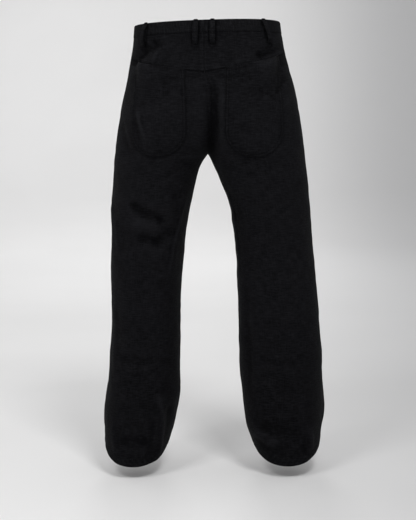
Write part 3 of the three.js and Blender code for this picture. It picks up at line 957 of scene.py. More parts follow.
def yoke_cloth(side):
    def fit(row, angle):
        top = below_waist(side, angle, BAND_HEIGHT + BAND_SEAM)
        return lerp(top, yoke_edge(side, angle) + HALF_GAP, row)

    depth = YOKE_CENTRE_DROP - BAND_HEIGHT
    rows = -rows_down(0, -depth, TOP_RIM, RIM, ROW_PITCH) / depth
    outer = panel(side, rows, 1, fit, dips=False)

    def relief(cloth):
        from_centre = cloth.width - cloth.across
        up = cloth.length - cloth.down
        centre = roll(from_centre)
        if side.name == "left":
            centre = centre + fell(from_centre)
        return roll(cloth.across) + centre + roll(cloth.down) + roll(up) + fell(up)

    return Cloth(outer, relief)


def pocket_half(row):
    """Half the width of a pocket at a part of its depth."""
    widening = POCKET_FLARE * smoothstep(row, 0, 1 - POCKET_ARCH)
    past = np.clip((row - (1 - POCKET_ARCH)) / POCKET_ARCH, 0, 1)
    return (POCKET_WIDTH + widening) / 2 * np.sqrt(1 - past * past)


def pocket_spots(side, across, row):
    """Points behind the pocket, and how far its inner face stands off them."""
    mouth_level = -YOKE_SIDE_DROP[side.name]

    def angle_of(height):
        start = angle_at_x(side, height, POCKET_INNER_EDGE[side.name], 1)
        return walk(side, height, start, -across)

    mouth = yoke_edge(side, angle_of(mouth_level + 0 * across)) + POCKET_MOUTH_RAISE
    height = lerp(mouth, POCKET_BOTTOM, row)
    place = np.clip(across / POCKET_WIDTH, 0, 1)
    swell = np.sin(math.pi * place ** (math.log(0.5) / math.log(POCKET_GAPE_PEAK)))
    gape = POCKET_GAPE[side.name] * swell**2 * (1 - smoothstep(row, 0, POCKET_GAPE_DEPTH))
    return spots(side, angle_of(height), height), POCKET_STAND + gape


def pocket_cloth(side):
    """A patch pocket with its inner face, and how far its points lie inside its outline."""
    straight = rows_down(0, -(1 - POCKET_ARCH) * POCKET_DEPTH, HEM_RIM, [0], PANEL_PITCH)
    turn = np.linspace(0, math.pi / 2, POCKET_ARCH_ROWS)[1:]
    arch = 1 - POCKET_ARCH * (1 - np.sin(turn) * POCKET_ARCH_TIP)
    rows = np.concatenate([-straight / POCKET_DEPTH, arch])[:, None]
    column = rimmed(2 * pocket_half(rows[:, 0]), PANEL_PITCH)
    across = POCKET_WIDTH / 2 + pocket_half(rows) * (2 * column - 1)
    behind, stand = pocket_spots(side, across, rows)
    inset = outline_distance(across, rows)

    def relief(cloth):
        down = rows * POCKET_DEPTH
        mouth = ledge(down, MOUTH_HEM, FELL_HEIGHT) + groove(down, MOUTH_ROW) + roll(down)
        edge = roll(inset) + ledge(inset, FELL_WIDTH, POCKET_EDGE)
        rows_in = sum(groove(inset, row) for row in POCKET_ROWS)
        return stand + POCKET_WALL + mouth + edge + rows_in

    cloth = Cloth(behind, relief)
    return cloth, behind.moved(stand), inset


def outline_distance(across, row):
    """How far a point of a pocket lies inside its outline, in millimetres."""
    dx = across - POCKET_WIDTH / 2
    straight = pocket_half(np.minimum(row, 1 - POCKET_ARCH)) - np.abs(dx)
    a, b = pocket_half(1 - POCKET_ARCH), POCKET_ARCH * POCKET_DEPTH
    dz = (row - (1 - POCKET_ARCH)) * POCKET_DEPTH
    level = np.sqrt((dx / a) ** 2 + (dz / b) ** 2)
    steep = np.sqrt((dx / a**2) ** 2 + (dz / b**2) ** 2) / np.maximum(level, 1e-6)
    arched = (1 - level) / np.maximum(steep, 1e-6)
    return np.maximum(np.where(dz < 0, straight, arched), 0)


def pocket_row(side, inset):
    """A row of stitches round a pocket, at a distance inside its outline."""
    side_rows = np.linspace(0, 1 - POCKET_ARCH, POCKET_SIDE_STEPS)
    turn = np.linspace(0, math.pi, POCKET_TURN_STEPS)[1:-1]
    half = pocket_half(1 - POCKET_ARCH) - inset
    deep = POCKET_ARCH * POCKET_DEPTH - inset
    down = np.concatenate([
        side_rows,
        1 - POCKET_ARCH + np.sin(turn) * deep / POCKET_DEPTH,
        side_rows[::-1],
    ])
    straight_half = pocket_half(side_rows) - inset
    across = POCKET_WIDTH / 2 + np.concatenate([
        -straight_half, -np.cos(turn) * half, straight_half[::-1],
    ])
    behind, stand = pocket_spots(side, across, down)
    out = stand + POCKET_WALL + POCKET_EDGE - GROOVE
    return Path(behind.moved(out), behind.outward)


def band_cloth():
    """One strip round the waist. Its left end laps over its right end at the centre front."""
    level = -BAND_HEIGHT / 2
    left, right = SIDES["left"], SIDES["right"]
    quarter = math.pi / 2
    ends = [angle_at_x(side, level, -BAND_LAP, -1) for side in (left, right)]
    lows = [lerp(ends[0], quarter, BAND_SHARES), lerp(quarter, ends[1], BAND_SHARES[1:])]
    drop = BAND_HEIGHT - rows_down(BAND_HEIGHT, 0, TOP_RIM, TOP_RIM, BAND_PITCH)[:, None]
    halves, unders = [], []
    for side, angles in zip((left, right), lows):
        angle = angles[None, :] + 0 * drop
        halves.append(spots(side, angle, below_waist(side, angle, drop)))
        unders.append(underlap(side, angle))
    whole = Spots(*(
        np.concatenate([getattr(half, part) for half in halves], 1)
        for part in ("points", "outward")
    ))
    under = np.concatenate(unders, 1)

    def relief(cloth):
        rows_in = sum(groove(drop, row) for row in BAND_ROWS)
        ends_in = roll(cloth.across) + roll(cloth.width - cloth.across)
        return BAND_PROUD - under + roll(drop) + roll(BAND_HEIGHT - drop) + rows_in + ends_in

    return Cloth(whole, relief), whole.moved(BAND_PROUD - under - BAND_WALL)


def underlap(side, angle):
    """How far the right end of the band steps in to pass under the left end."""
    x = -surface(side, angle, -BAND_HEIGHT / 2, fine=False)[..., 0]
    under = 1 - smoothstep(x, BAND_STEP_START, BAND_STEP_END)
    return np.where((side.name == "right") & (angle < 0), (BAND_WALL + SEAM_GAP) * under, 0)


def loop_run(side, facing, across, lean, offsets=0):
    """The angles of a loop's rows at offsets from its middle line, and the heights of the rows."""
    top = angle_at_x(side, -BAND_HEIGHT, across, facing)
    aslant = -facing * lean * LOOP_PARTS
    middle = walk(side, -BAND_HEIGHT, top, aslant)
    angle = walk(side, -BAND_HEIGHT, top, aslant + offsets)
    return angle, below_waist(side, middle, lerp(-LOOP_RISE, LOOP_DROP, LOOP_PARTS))


def loop_line(*loop):
    """The middle line of a loop on the cloth under it."""
    return surface(loop[0], *loop_run(*loop))[:, 0]


def loop_cloth(side, *loop):
    """A strip that bridges the waistband, sewn down at both ends."""
    offsets = (rimmed(LOOP_WIDTH, LOOP_PITCH, LOOP_RIM)[0] - 0.5) * LOOP_WIDTH
    row = LOOP_PARTS
    from_end = np.minimum(row, 1 - row) * (LOOP_DROP + LOOP_RISE)
    rounding = np.clip(1 - from_end / LOOP_ROUNDING, 0, 1)
    offsets = offsets * (1 - LOOP_NARROWING * (1 - np.sqrt(1 - rounding**2)))
    angle, height = loop_run(side, *loop, offsets)
    over_band = 1 - smoothstep(row, LOOP_LEAVES_BAND, LOOP_MEETS_YOKE)
    seat = LOOP_CONTACT + BAND_PROUD * over_band
    stand = LOOP_STAND * smoothstep(row, 0, LOOP_EASE) * (1 - smoothstep(row, 1 - LOOP_EASE, 1))
    base = spots(side, angle, height)
    edge = np.minimum(offsets - offsets[:, :1], offsets[:, -1:] - offsets)

    def relief(cloth):
        crown = groove(edge, LOOP_ROW) + roll(edge) + roll(from_end)
        return seat + stand + LOOP_WALL + crown

    return Cloth(base, relief), base.moved(seat + stand)


# ---- Stitching ----

THREAD, STITCH_PITCH, STITCH_LENGTH = 0.34, 3.3, 2.5
STITCH_SIDES, STITCH_LIFT, STITCH_SAG = 6, 0.16, 0.42
STITCH_RINGS = [(-0.72, 0.85), (0, 1.0), (0.72, 0.85)]  # place along half a stitch, thickness
STITCH_STRAYS, STITCH_LENGTHS = 0.06, (0.92, 1.05)
TACK_PITCH, TACK_WIDTH = 0.75, 2.4
TACK_DOWN, TACK_IN, TACK_LENGTH = 3.2, 1.8, 9
stitch_random = np.random.default_rng(11)


@dataclass
class Row:
    """A row of stitches along a path. Turned ones lie across it, as in a bar tack."""

    path: Path
    pitch: float = STITCH_PITCH
    length: float = STITCH_LENGTH
    turned: bool = False


def tack(path):
    return Row(path, TACK_PITCH, TACK_WIDTH, True)


def one_stitch():
    """A stitch along x, of half length 1 and thread radius 1, with faces as corner numbers."""
    ring = np.linspace(0, 2 * math.pi, STITCH_SIDES, endpoint=False)
    points = [(-1, 0, 0)]
    points += [(s, math.cos(t) * f, math.sin(t) * f) for s, f in STITCH_RINGS for t in ring]
    points += [(1, 0, 0)]
    last = len(points) - 1
    faces = []
    for k in range(STITCH_SIDES):
        n = (k + 1) % STITCH_SIDES
        faces.append((0, 1 + n, 1 + k, 1 + k))
        for r in range(2):
            a, b = 1 + r * STITCH_SIDES, 1 + (r + 1) * STITCH_SIDES
            faces.append((a + k, a + n, b + n, b + k))
        c = 1 + 2 * STITCH_SIDES
        faces.append((c + k, c + n, last, last))
    return np.array(points), np.array(faces)


def unit(vectors):
    return vectors / np.maximum(np.linalg.norm(vectors, axis=1), 1e-9)[:, None]


def sewn(row, stitch):
    """The points of each stitch in a row."""
    far = measured(row.path.points, 0)
    count = max(int(far[-1] / row.pitch), 1)
    at = (np.arange(count) + 0.5) * far[-1] / count
    at = at + stitch_random.uniform(-STITCH_STRAYS, STITCH_STRAYS, count) * row.pitch
    pick = lambda values, d: np.stack([np.interp(d, far, v) for v in values.T], -1)
    middle = pick(row.path.points, at)
    tangent = unit(pick(row.path.points, at + 0.5) - pick(row.path.points, at - 0.5))
    beside = unit(np.cross(pick(row.path.normals, at), tangent))
    if row.turned:
        tangent, beside = beside, -tangent
    normal = np.cross(tangent, beside)
    half = row.length / 2 * stitch_random.uniform(*STITCH_LENGTHS, count)
    lift = STITCH_LIFT - STITCH_SAG * stitch[:, 0] ** 2
    return (
        middle[:, None]
        + tangent[:, None] * (stitch[None, :, 0] * half[:, None])[..., None]
        + beside[:, None] * (stitch[:, 1] * THREAD)[None, :, None]
        + normal[:, None] * (stitch[:, 2] * THREAD + lift)[None, :, None]
    )


def stitches(name, rows):
    """One joined mesh of small bowed lengths of thread."""
    stitch, faces = one_stitch()
    points = np.concatenate([sewn(row, stitch) for row in rows])
    index = faces[None] + (np.arange(len(points)) * len(stitch))[:, None, None]
    quads = [tuple(dict.fromkeys(face)) for face in index.reshape(-1, 4).tolist()]
    piece = new_piece(name, (points.reshape(-1, 3) * MM).tolist(), quads, BLACK_THREAD)
    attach(piece, "root")


# ---- Materials ----


def node_group(name, inputs, outputs):
    """A shader node group with named sockets, and short ways to add and join its nodes."""
    tree = bpy.data.node_groups.new(name, "ShaderNodeTree")
    for title, kind, value in inputs:
        socket = tree.interface.new_socket(title, in_out="INPUT", socket_type=kind)
        if value is not None:
            socket.default_value = value
    for title, kind in outputs:
        tree.interface.new_socket(title, in_out="OUTPUT", socket_type=kind)
    return tree, tree.nodes.new("NodeGroupInput"), tree.nodes.new("NodeGroupOutput")


def feed(tree, socket, value):
    """Links a socket to another one, or sets its number or colour."""
    if isinstance(value, bpy.types.NodeSocket):
        tree.links.new(value, socket)
    else:
        socket.default_value = value


def math_node(tree, operation, *values, clamp=False):
    node = tree.nodes.new("ShaderNodeMath")
    node.operation = operation
    node.use_clamp = clamp
    for socket, value in zip(node.inputs, values):
        feed(tree, socket, value)
    return node.outputs[0]


def times(tree, a, b):
    return math_node(tree, "MULTIPLY", a, b)


def plus(tree, a, b, clamp=False):
    return math_node(tree, "ADD", a, b, clamp=clamp)


def ripple(tree, value):
    """A rounded ridge for each whole number."""
    return math_node(tree, "ABSOLUTE", math_node(tree, "SINE", times(tree, value, math.pi)))


def split_node(tree, vector):
    node = tree.nodes.new("ShaderNodeSeparateXYZ")
    tree.links.new(vector, node.inputs[0])
    return node.outputs


def own_place(tree):
    return tree.nodes.new("ShaderNodeTexCoord").outputs["Object"]


def noise_node(tree, vector, scale, detail, roughness=0.5):
    node = tree.nodes.new("ShaderNodeTexNoise")
    values = {"Vector": vector, "Scale": scale, "Detail": detail, "Roughness": roughness}
    for title, value in values.items():
        feed(tree, node.inputs[title], value)
    return node.outputs["Fac"]


def stretch(tree, vector, x, y, z=1.0):
    node = tree.nodes.new("ShaderNodeVectorMath")
    node.operation = "MULTIPLY"
    tree.links.new(vector, node.inputs[0])
    node.inputs[1].default_value = (x, y, z)
    return node.outputs[0]


def map_range(tree, value, low, high, to_low=0.0, to_high=1.0):
    node = tree.nodes.new("ShaderNodeMapRange")
    node.interpolation_type = "SMOOTHSTEP"
    tree.links.new(value, node.inputs["Value"])
    for title, number in (
        ("From Min", low), ("From Max", high), ("To Min", to_low), ("To Max", to_high),
    ):
        node.inputs[title].default_value = number
    return node.outputs["Result"]


TWILL_STEP, TWILL_OVER = 3.0, 0.6
WEFT_SLUBS, WARP_SLUBS = (56, 400), (520, 34)
WEFT_SLUB_SHARE, WARP_SLUB_SHARE = 0.8, 0.45
SPECK_SHARE, STREAK_SHARE, WEFT_SHARE = 0.14, 0.7, 0.12


def twill_weave_group():
    """Yarns that pass over two and under one, stepping sideways each row."""
    tree, start, end = node_group(
        "Twill weave",
        [("Grain", "NodeSocketVector", None), ("Yarn", "NodeSocketFloat", 0.0006)],
        [("Height", "NodeSocketFloat"), ("Weft", "NodeSocketFloat")],
    )
    grain = split_node(tree, start.outputs["Grain"])
    across, down = (math_node(tree, "DIVIDE", grain[i], start.outputs["Yarn"]) for i in (0, 1))
    step = plus(tree, math_node(tree, "FLOOR", across), math_node(tree, "FLOOR", down))
    third = math_node(tree, "FRACT", math_node(tree, "DIVIDE", step, TWILL_STEP))
    over = math_node(tree, "GREATER_THAN", third, TWILL_OVER)
    warp = times(tree, ripple(tree, across), math_node(tree, "SUBTRACT", 1.0, over))
    weft = times(tree, ripple(tree, down), over)
    tree.links.new(plus(tree, warp, weft), end.inputs["Height"])
    tree.links.new(over, end.inputs["Weft"])
    return tree


def slub_group():
    """Thick and thin places of linen yarn, long streaks across and fainter ones down."""
    tree, start, end = node_group(
        "Slubs",
        [("Grain", "NodeSocketVector", None)],
        [("Height", "NodeSocketFloat"), ("Streak", "NodeSocketFloat")],
    )
    grain = start.outputs["Grain"]
    across = noise_node(tree, stretch(tree, grain, *WEFT_SLUBS), 1.0, 5.0, 0.75)
    down = noise_node(tree, stretch(tree, grain, *WARP_SLUBS), 1.0, 3.0, 0.7)
    thick = times(tree, map_range(tree, across, 0.42, 0.62), WEFT_SLUB_SHARE)
    thin = times(tree, map_range(tree, down, 0.42, 0.68), WARP_SLUB_SHARE)
    streak = plus(tree, thick, thin)
    tree.links.new(streak, end.inputs["Streak"])
    tree.links.new(streak, end.inputs["Height"])
    return tree


def wear_and_shade_group():
    """Paler cloth where the dye has worn off on edges and in soft patches; Raised adds wear and
    painted light on ridges and painted shade in hollows.
    """
    tree, start, end = node_group(
        "Rubbed dye and painted shade",
        [
            ("Place", "NodeSocketVector", None),
            ("Edge", "NodeSocketFloat", 0.0),
            ("Raised", "NodeSocketFloat", 0.5),
            ("Patches", "NodeSocketFloat", 0.4),
        ],
        [("Mask", "NodeSocketFloat")],
    )
    place = start.outputs["Place"]
    patches = map_range(tree, noise_node(tree, place, 6.0, 2.0), 0.35, 0.75)
    speck = map_range(tree, noise_node(tree, place, 420.0, 2.0, 0.7), 0.35, 0.7)
    edge = times(tree, start.outputs["Edge"], times(tree, speck, SPECK_SHARE))
    soft = times(tree, patches, start.outputs["Patches"])
    # Painted shade where Raised is below a half; wear and painted light where it is above.
    painted_shade_and_ridge_wear = math_node(tree, "SUBTRACT", start.outputs["Raised"], 0.5)
    tree.links.new(plus(tree, plus(tree, edge, soft), painted_shade_and_ridge_wear), end.inputs["Mask"])
    return tree


TWILL_WEAVE = twill_weave_group()
SLUBS = slub_group()
RUBBED_DYE_AND_PAINTED_SHADE = wear_and_shade_group()


def new_material(name, **sockets):
    """A material with plain numbers on its shader's own sockets."""
    material = bpy.data.materials.new(name)
    material.use_nodes = True
    shader = material.node_tree.nodes["Principled BSDF"]
    for title, value in sockets.items():
        shader.inputs[title.replace("_", " ")].default_value = value
    return material, material.node_tree, shader


def place_group(tree, group, **values):
    node = tree.nodes.new("ShaderNodeGroup")
    node.node_tree = group
    for title, value in values.items():
        feed(tree, node.inputs[title], value)
    return node


def colour_mix(tree, mask, low, high):
    node = tree.nodes.new("ShaderNodeMix")
    node.data_type = "RGBA"
    tree.links.new(mask, node.inputs["Factor"])
    for title, value in (("A", low), ("B", high)):
        socket = next(s for s in node.inputs if s.name == title and s.type == "RGBA")
        feed(tree, socket, (*value, 1) if isinstance(value, tuple) else value)
    return next(s for s in node.outputs if s.type == "RGBA")


def finish(tree, shader, mask, dark, pale, smooth_end, rough_end):
    """Colour and roughness that both follow one mask."""
    tree.links.new(colour_mix(tree, mask, dark, pale), shader.inputs["Base Color"])
    roughness = map_range(tree, mask, 0.0, 1.0, smooth_end, rough_end)
    tree.links.new(roughness, shader.inputs["Roughness"])


def bump_chain(tree, shader, steps):
    """Bumps on top of each other, each with its height, its depth in metres and its strength."""
    normal = None
    for height, depth, strength in steps:
        bump = tree.nodes.new("ShaderNodeBump")
        bump.inputs["Distance"].default_value = depth
        bump.inputs["Strength"].default_value = strength
        tree.links.new(height, bump.inputs["Height"])
        if normal:
            tree.links.new(normal, bump.inputs["Normal"])
        normal = bump.outputs["Normal"]
    tree.links.new(normal, shader.inputs["Normal"])


YARN = 0.00062


def linen_twill(name, dark, pale, patches):
    """Matte slubby cloth whose yarns follow the grain of each piece."""
    material, tree, shader = new_material(
        name,
        Sheen_Weight=0.012,
        Sheen_Roughness=0.42,
        Sheen_Tint=(0.9, 0.9, 0.95, 1),
        Specular_IOR_Level=0.04,
    )
    grain = tree.nodes.new("ShaderNodeUVMap")
    grain.uv_map = "grain"
    edge, height = (tree.nodes.new("ShaderNodeAttribute") for _ in range(2))
    edge.attribute_name, height.attribute_name = "edge", "ridge_wear_and_painted_shade"
    weave = place_group(tree, TWILL_WEAVE, Grain=grain.outputs["UV"], Yarn=YARN)
    slubs = place_group(tree, SLUBS, Grain=grain.outputs["UV"])
    # This mask also carries painted light on ridges and painted shade in hollows, seams, the seat,
    # under loops and toward the hems.
    worn = place_group(
        tree, RUBBED_DYE_AND_PAINTED_SHADE, Place=own_place(tree), Patches=patches,
        Edge=edge.outputs["Fac"], Raised=height.outputs["Fac"],
    )
    streak = times(tree, slubs.outputs["Streak"], STREAK_SHARE)
    weft = times(tree, weave.outputs["Weft"], WEFT_SHARE)
    mask = plus(tree, plus(tree, streak, weft), worn.outputs["Mask"], clamp=True)
    finish(tree, shader, mask, dark, pale, 0.84, 0.96)
    bump_chain(tree, shader, [
        (slubs.outputs["Height"], 0.00045, 0.55),
        (weave.outputs["Height"], 0.00022, 0.5),
    ])
    return material


OUTER_TWILL = linen_twill(
    "Black linen twill", (0.0019, 0.0019, 0.0024), (0.0118, 0.0120, 0.0138), 0.06
)
BAND_TWILL = linen_twill(
    "Black linen twill on the band", (0.0021, 0.0021, 0.0026), (0.0128, 0.0129, 0.0146), 0.07
)
INNER_TWILL = linen_twill(
    "Inside of the twill", (0.0045, 0.0045, 0.005), (0.0165, 0.016, 0.016), 0.2
)


def thread_material():
    material, tree, shader = new_material(
        "Black thread", Sheen_Weight=0.004, Sheen_Roughness=0.3, Specular_IOR_Level=0.05
    )
    place = own_place(tree)
    worn = place_group(tree, RUBBED_DYE_AND_PAINTED_SHADE, Place=place, Edge=0.35, Patches=0.5)
    mask = worn.outputs["Mask"]
    finish(tree, shader, mask, (0.0014, 0.0014, 0.0018), (0.0055, 0.0055, 0.0062), 0.55, 0.75)
    twist = noise_node(tree, place, 2600.0, 1.0)
    bump_chain(tree, shader, [(twist, 0.0002, 0.5)])
    return material


def horn_material():
    material, tree, shader = new_material(
        "Dark horn", Specular_IOR_Level=0.5, Coat_Weight=0.25, Coat_Roughness=0.2
    )
    place = own_place(tree)
    growth = noise_node(tree, stretch(tree, place, 150, 150, 420), 1.0, 4.0, 0.6)
    veins = map_range(tree, growth, 0.4, 0.7)
    worn = place_group(tree, RUBBED_DYE_AND_PAINTED_SHADE, Place=place, Edge=0.2, Patches=0.4)
    mask = plus(tree, times(tree, veins, 0.7), worn.outputs["Mask"], clamp=True)
    finish(tree, shader, mask, (0.010, 0.008, 0.007), (0.045, 0.032, 0.022), 0.26, 0.48)
    bump_chain(tree, shader, [(veins, 0.0001, 0.3)])
    return material


BLACK_THREAD = thread_material()
DARK_HORN = horn_material()

# ---- The dressed pieces ----

EDGE_REACH = 2.6
# The relief is painted into the colour: hollows darker as painted shade, ridges paler as wear and
# painted light.
RAISED_PASSES, RAISED_LEVEL, RAISED_LIMIT, RAISED_SHARE = 90, 0.7, 2.6, 0.17
CRISP_PASSES, CRISP_SCALE = 5, 0.55
INNER_SHARE = 0.3


def softened(grid, passes):
    """A grid of points with its relief smoothed away."""
    for _ in range(passes):
        wide = np.pad(grid, ((1, 1), (1, 1), (0, 0)), "edge")
        beside = wide[:-2, 1:-1] + wide[2:, 1:-1] + wide[1:-1, :-2] + wide[1:-1, 2:]
        grid = (beside + 4 * grid) / 8
    return grid


def ridge_wear_and_painted_shade(cloth):
    """How far each point stands out from the cloth round it: 0 in a hollow, 1 on a ridge. It paints
    hollows darker as painted shade, and ridges paler as wear and painted light.
    """
    broad = ((cloth.points - softened(cloth.points, RAISED_PASSES)) * cloth.outward).sum(-1)
    crisp = ((cloth.points - softened(cloth.points, CRISP_PASSES)) * cloth.outward).sum(-1)
    broad = np.tanh((broad - RAISED_LEVEL) / RAISED_LIMIT) * RAISED_SHARE
    return np.clip(0.5 + broad + crisp * CRISP_SCALE, 0, 1)


def dress(node, cloth, inner, look=OUTER_TWILL, run="hanging", shade=0):
    """Makes the shell of a piece, which stands for its solid."""
    piece = wall_mesh("shell_" + node, cloth.points, inner, grain_of(cloth, run), look, INNER_TWILL)
    edges = np.minimum(
        np.minimum(cloth.across, cloth.width - cloth.across),
        np.minimum(cloth.down, cloth.length - cloth.down),
    )
    # Painted shade: the given shade is taken off the relief that the cloth's colour follows.
    height = np.clip(ridge_wear_and_painted_shade(cloth) - shade, 0, 1)
    worn = np.exp(-edges / EDGE_REACH)
    for title, outer, within in (("edge", worn, worn), ("ridge_wear_and_painted_shade", height, height * INNER_SHARE)):
        attribute = piece.data.attributes.new(title, "FLOAT", "POINT")
        both = np.concatenate([outer.ravel(), within.ravel()])
        attribute.data.foreach_set("value", both.astype(np.float32))
    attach(piece, "root")
    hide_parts(node)


# Painted shade down in a seam, to this share and this far from it.
SEAM_SHADE, SEAM_SHADE_REACH = 0.45, 2.4

# Painted shade in the sunk middle of the seat, darker toward its deepest, by this power of its
# share.
SINK_SHADE, SINK_DEEPEST, SINK_POWER = 0.75, 16, 2.5

# Painted shade, darker toward the hems of the legs where less light reaches: the share at the
# lowest, and where it starts.
LOW_SHADE, LOW_START = 0.22, -560

# Painted shadow under the sides of a loop, from this far off its middle line and over this reach.
LOOP_SHADE, LOOP_SHADE_AT, LOOP_SHADE_REACH = 0.5, 7.6, 2.4
loop_lines = np.concatenate([loop_line(SIDES[name], *rest) for _, name, *rest in LOOPS])


def beside_loops(cloth):
    away = np.full(cloth.points.shape[:2], np.inf)
    for place in loop_lines:
        away = np.minimum(away, np.linalg.norm(cloth.points - place, axis=-1))
    return LOOP_SHADE * bell(away - LOOP_SHADE_AT, LOOP_SHADE_REACH)


# The flat cut of what shows of each piece: width, length and area, in metres.
BACK_CUT = (0.35, 0.98, 0.282)
FRONT_CUT = (0.35, 1.04, 0.316)
YOKE_CUT = (0.21, 0.11, 0.0165)

backs, fronts, yokes = {}, {}, {}
for name, side in SIDES.items():
    backs[name] = back_cloth(side)
    fronts[name] = front_cloth(side)
    yokes[name] = yoke_cloth(side)
    for kind, cloths, cut in (
        ("back", backs, BACK_CUT), ("front", fronts, FRONT_CUT), ("yoke", yokes, YOKE_CUT),
    ):
        cloth = cloths[name]
        inner = cloth.points - cloth.outward * CLOTH
        # Painted shade under each piece's top edge, toward the hems, over the yoke's lower edge, in
        # the seat and beside the loops.
        shade = SEAM_SHADE * bell(cloth.down, SEAM_SHADE_REACH)
        shade = shade + LOW_SHADE * smoothstep(cloth.points[..., 2], LOW_START, HEM_LEVEL)
        if kind == "yoke":
            shade = shade + SEAM_SHADE * bell(cloth.length - cloth.down, SEAM_SHADE_REACH)
        if kind == "back":
            x, y, height = np.moveaxis(cloth.points, -1, 0)
            sunk = seat_sink(x - drift(0, y, height) + SEAT_SINK_ASIDE, y, height)
            shade = shade + SINK_SHADE * (sunk / SINK_DEEPEST) ** SINK_POWER
        if kind != "back":
            shade = shade + beside_loops(cloth)
        dress(f"{kind}_{name}", cloth, inner, shade=shade)
    pocket, pocket_inner, inset = pocket_cloth(side)
    # Painted shade along the pocket's rows of stitches.
    dress(
        f"pocket_{name}", pocket, pocket_inner,
        shade=SEAM_SHADE * sum(bell(inset - row, GROOVE_REACH) for row in POCKET_ROWS),
    )
    inside = pocket.crosswise(MOUTH_ROW)
    corner = pocket.crosswise(TACK_DOWN)
    stitches(f"pocket_tacks_{name}", [
        tack(corner.part(TACK_IN, TACK_IN + TACK_LENGTH)),
        tack(corner.part(corner.total - TACK_IN - TACK_LENGTH, corner.total - TACK_IN)),
    ])
    stitches(f"pocket_stitches_{name}", [
        Row(pocket_row(side, POCKET_ROWS[0])),
        Row(pocket_row(side, POCKET_ROWS[1])),
        Row(inside.part(POCKET_ROWS[0], inside.total - POCKET_ROWS[0])),
    ])
    back, front, yoke = backs[name], fronts[name], yokes[name]
    stitches(f"hem_stitches_{name}", [
        Row(back.crosswise(HEM_ROW, from_end=True)),
        Row(front.crosswise(HEM_ROW, from_end=True)),
    ])
    inseam_rows = np.where(back.points[:, -1, 2] < INSEAM_STITCHES)[0]
    stitches(f"inseam_stitches_{name}", [
        Row(back.lengthwise(row, from_end=True, rows=inseam_rows)) for row in FELL_ROWS
    ])
    stitches(f"yoke_stitches_{name}", [
        Row(yoke.crosswise(row, from_end=True)) for row in FELL_ROWS
    ])

band, band_inner = band_cloth()
# Painted shadow on the band beside the loops.
dress("waistband", band, band_inner, BAND_TWILL, "turned", shade=beside_loops(band))
stitches("band_stitches", [Row(band.crosswise(row)) for row in BAND_ROWS])

for node, name, facing, across, lean in LOOPS:
    loop, loop_inner = loop_cloth(SIDES[name], facing, across, lean)
    dress(node, loop, loop_inner, BAND_TWILL, "along")
    stitches(f"{node}_stitches", [
        Row(loop.lengthwise(LOOP_ROW)),
        Row(loop.lengthwise(LOOP_ROW, from_end=True)),
        tack(loop.crosswise(LOOP_TACK)),
        tack(loop.crosswise(LOOP_TACK, from_end=True)),
    ])

rise_rows = np.where(backs["left"].points[:, -1, 2] > RISE_STITCHES)[0]
stitches("centre_back_stitches", [
    Row(cloth.lengthwise(row, from_end=True, rows=rows))
    for cloth, rows in ((yokes["left"], slice(None)), (backs["left"], rise_rows))
    for row in FELL_ROWS
])

# ---- Fly, buttonhole and button ----

HOLE_START, HOLE_END, HOLE_HALF = 12, 34, 1.3
HOLE_STEPS = 16
FLY_STEPS, FLY_TURN_STEPS, FLY_TURN_IN, UNDER_FLY = 30, 24, 1.2, 2
FLY_TACK = np.array([1.5, 9.5]), np.array([FLY_DEPTH - 5, FLY_DEPTH - 7])
PIERCED_RADIUS, PIERCED_FROM_CENTRE, PIERCED_FROM, PIERCED_TO = 0.95, 1.75, -1, 5
RIM_STEPS, DISH_STEPS, DISH_START = 13, 8, 2.6
LATHE_SIDES, LATHE_EDGE = 96, math.radians(40)
BAR_STRANDS, BAR_PITCH, BAR_LENGTH = 4, 0.42, 4.6
SHANK_RADIUS, SHANK_LENGTH, SHANK_SUNK = 1.9, 2.2, 0.4


def fly_row(cloth, inset):
    """One row of the fly's topstitching, on the left front."""
    width = FLY_WIDTH - inset
    straight = np.linspace(1, FLY_STRAIGHT, FLY_STEPS)
    turn = np.linspace(0, math.pi / 2, FLY_TURN_STEPS)[1:]
    deep = FLY_DEPTH - FLY_STRAIGHT - inset
    across = np.concatenate([width + 0 * straight, width * np.cos(turn) + FLY_TURN_IN])
    down = np.concatenate([straight, FLY_STRAIGHT + deep * np.sin(turn)])
    return cloth.places(across, down, from_end=True)


def hole_path(cloth):
    """The way round the buttonhole's slit, which lies along the middle of the band."""
    turn = np.linspace(-math.pi / 2, math.pi / 2, HOLE_STEPS)
    rounded_end = HOLE_END + HOLE_HALF * np.cos(turn)
    across = np.concatenate([[HOLE_START], rounded_end, [HOLE_START]])
    up = np.concatenate([[-HOLE_HALF], HOLE_HALF * np.sin(turn), [HOLE_HALF]])
    return cloth.places(across, BAND_HEIGHT / 2 + up)


def lathe(name, profile, material, centre):
    """A turned piece whose axis runs to the front, from radii and heights in millimetres."""
    around = np.linspace(0, 2 * math.pi, LATHE_SIDES, endpoint=False)
    rings = [
        (r * math.cos(t), -up, r * math.sin(t)) for r, up in profile[1:-1] for t in around
    ]
    points = [(0, -profile[0][1], 0)] + rings + [(0, -profile[-1][1], 0)]
    ring = lambda i, k: 1 + i * LATHE_SIDES + k % LATHE_SIDES
    last_ring, tip = len(profile) - 3, len(points) - 1
    faces = []
    for k in range(LATHE_SIDES):
        faces.append((0, ring(0, k + 1), ring(0, k)))
        for i in range(last_ring):
            faces.append((ring(i, k), ring(i, k + 1), ring(i + 1, k + 1), ring(i + 1, k)))
        faces.append((ring(last_ring, k), ring(last_ring, k + 1), tip))
    placed = (np.array(points) + centre) * MM
    return new_piece(name, placed.tolist(), faces, material)


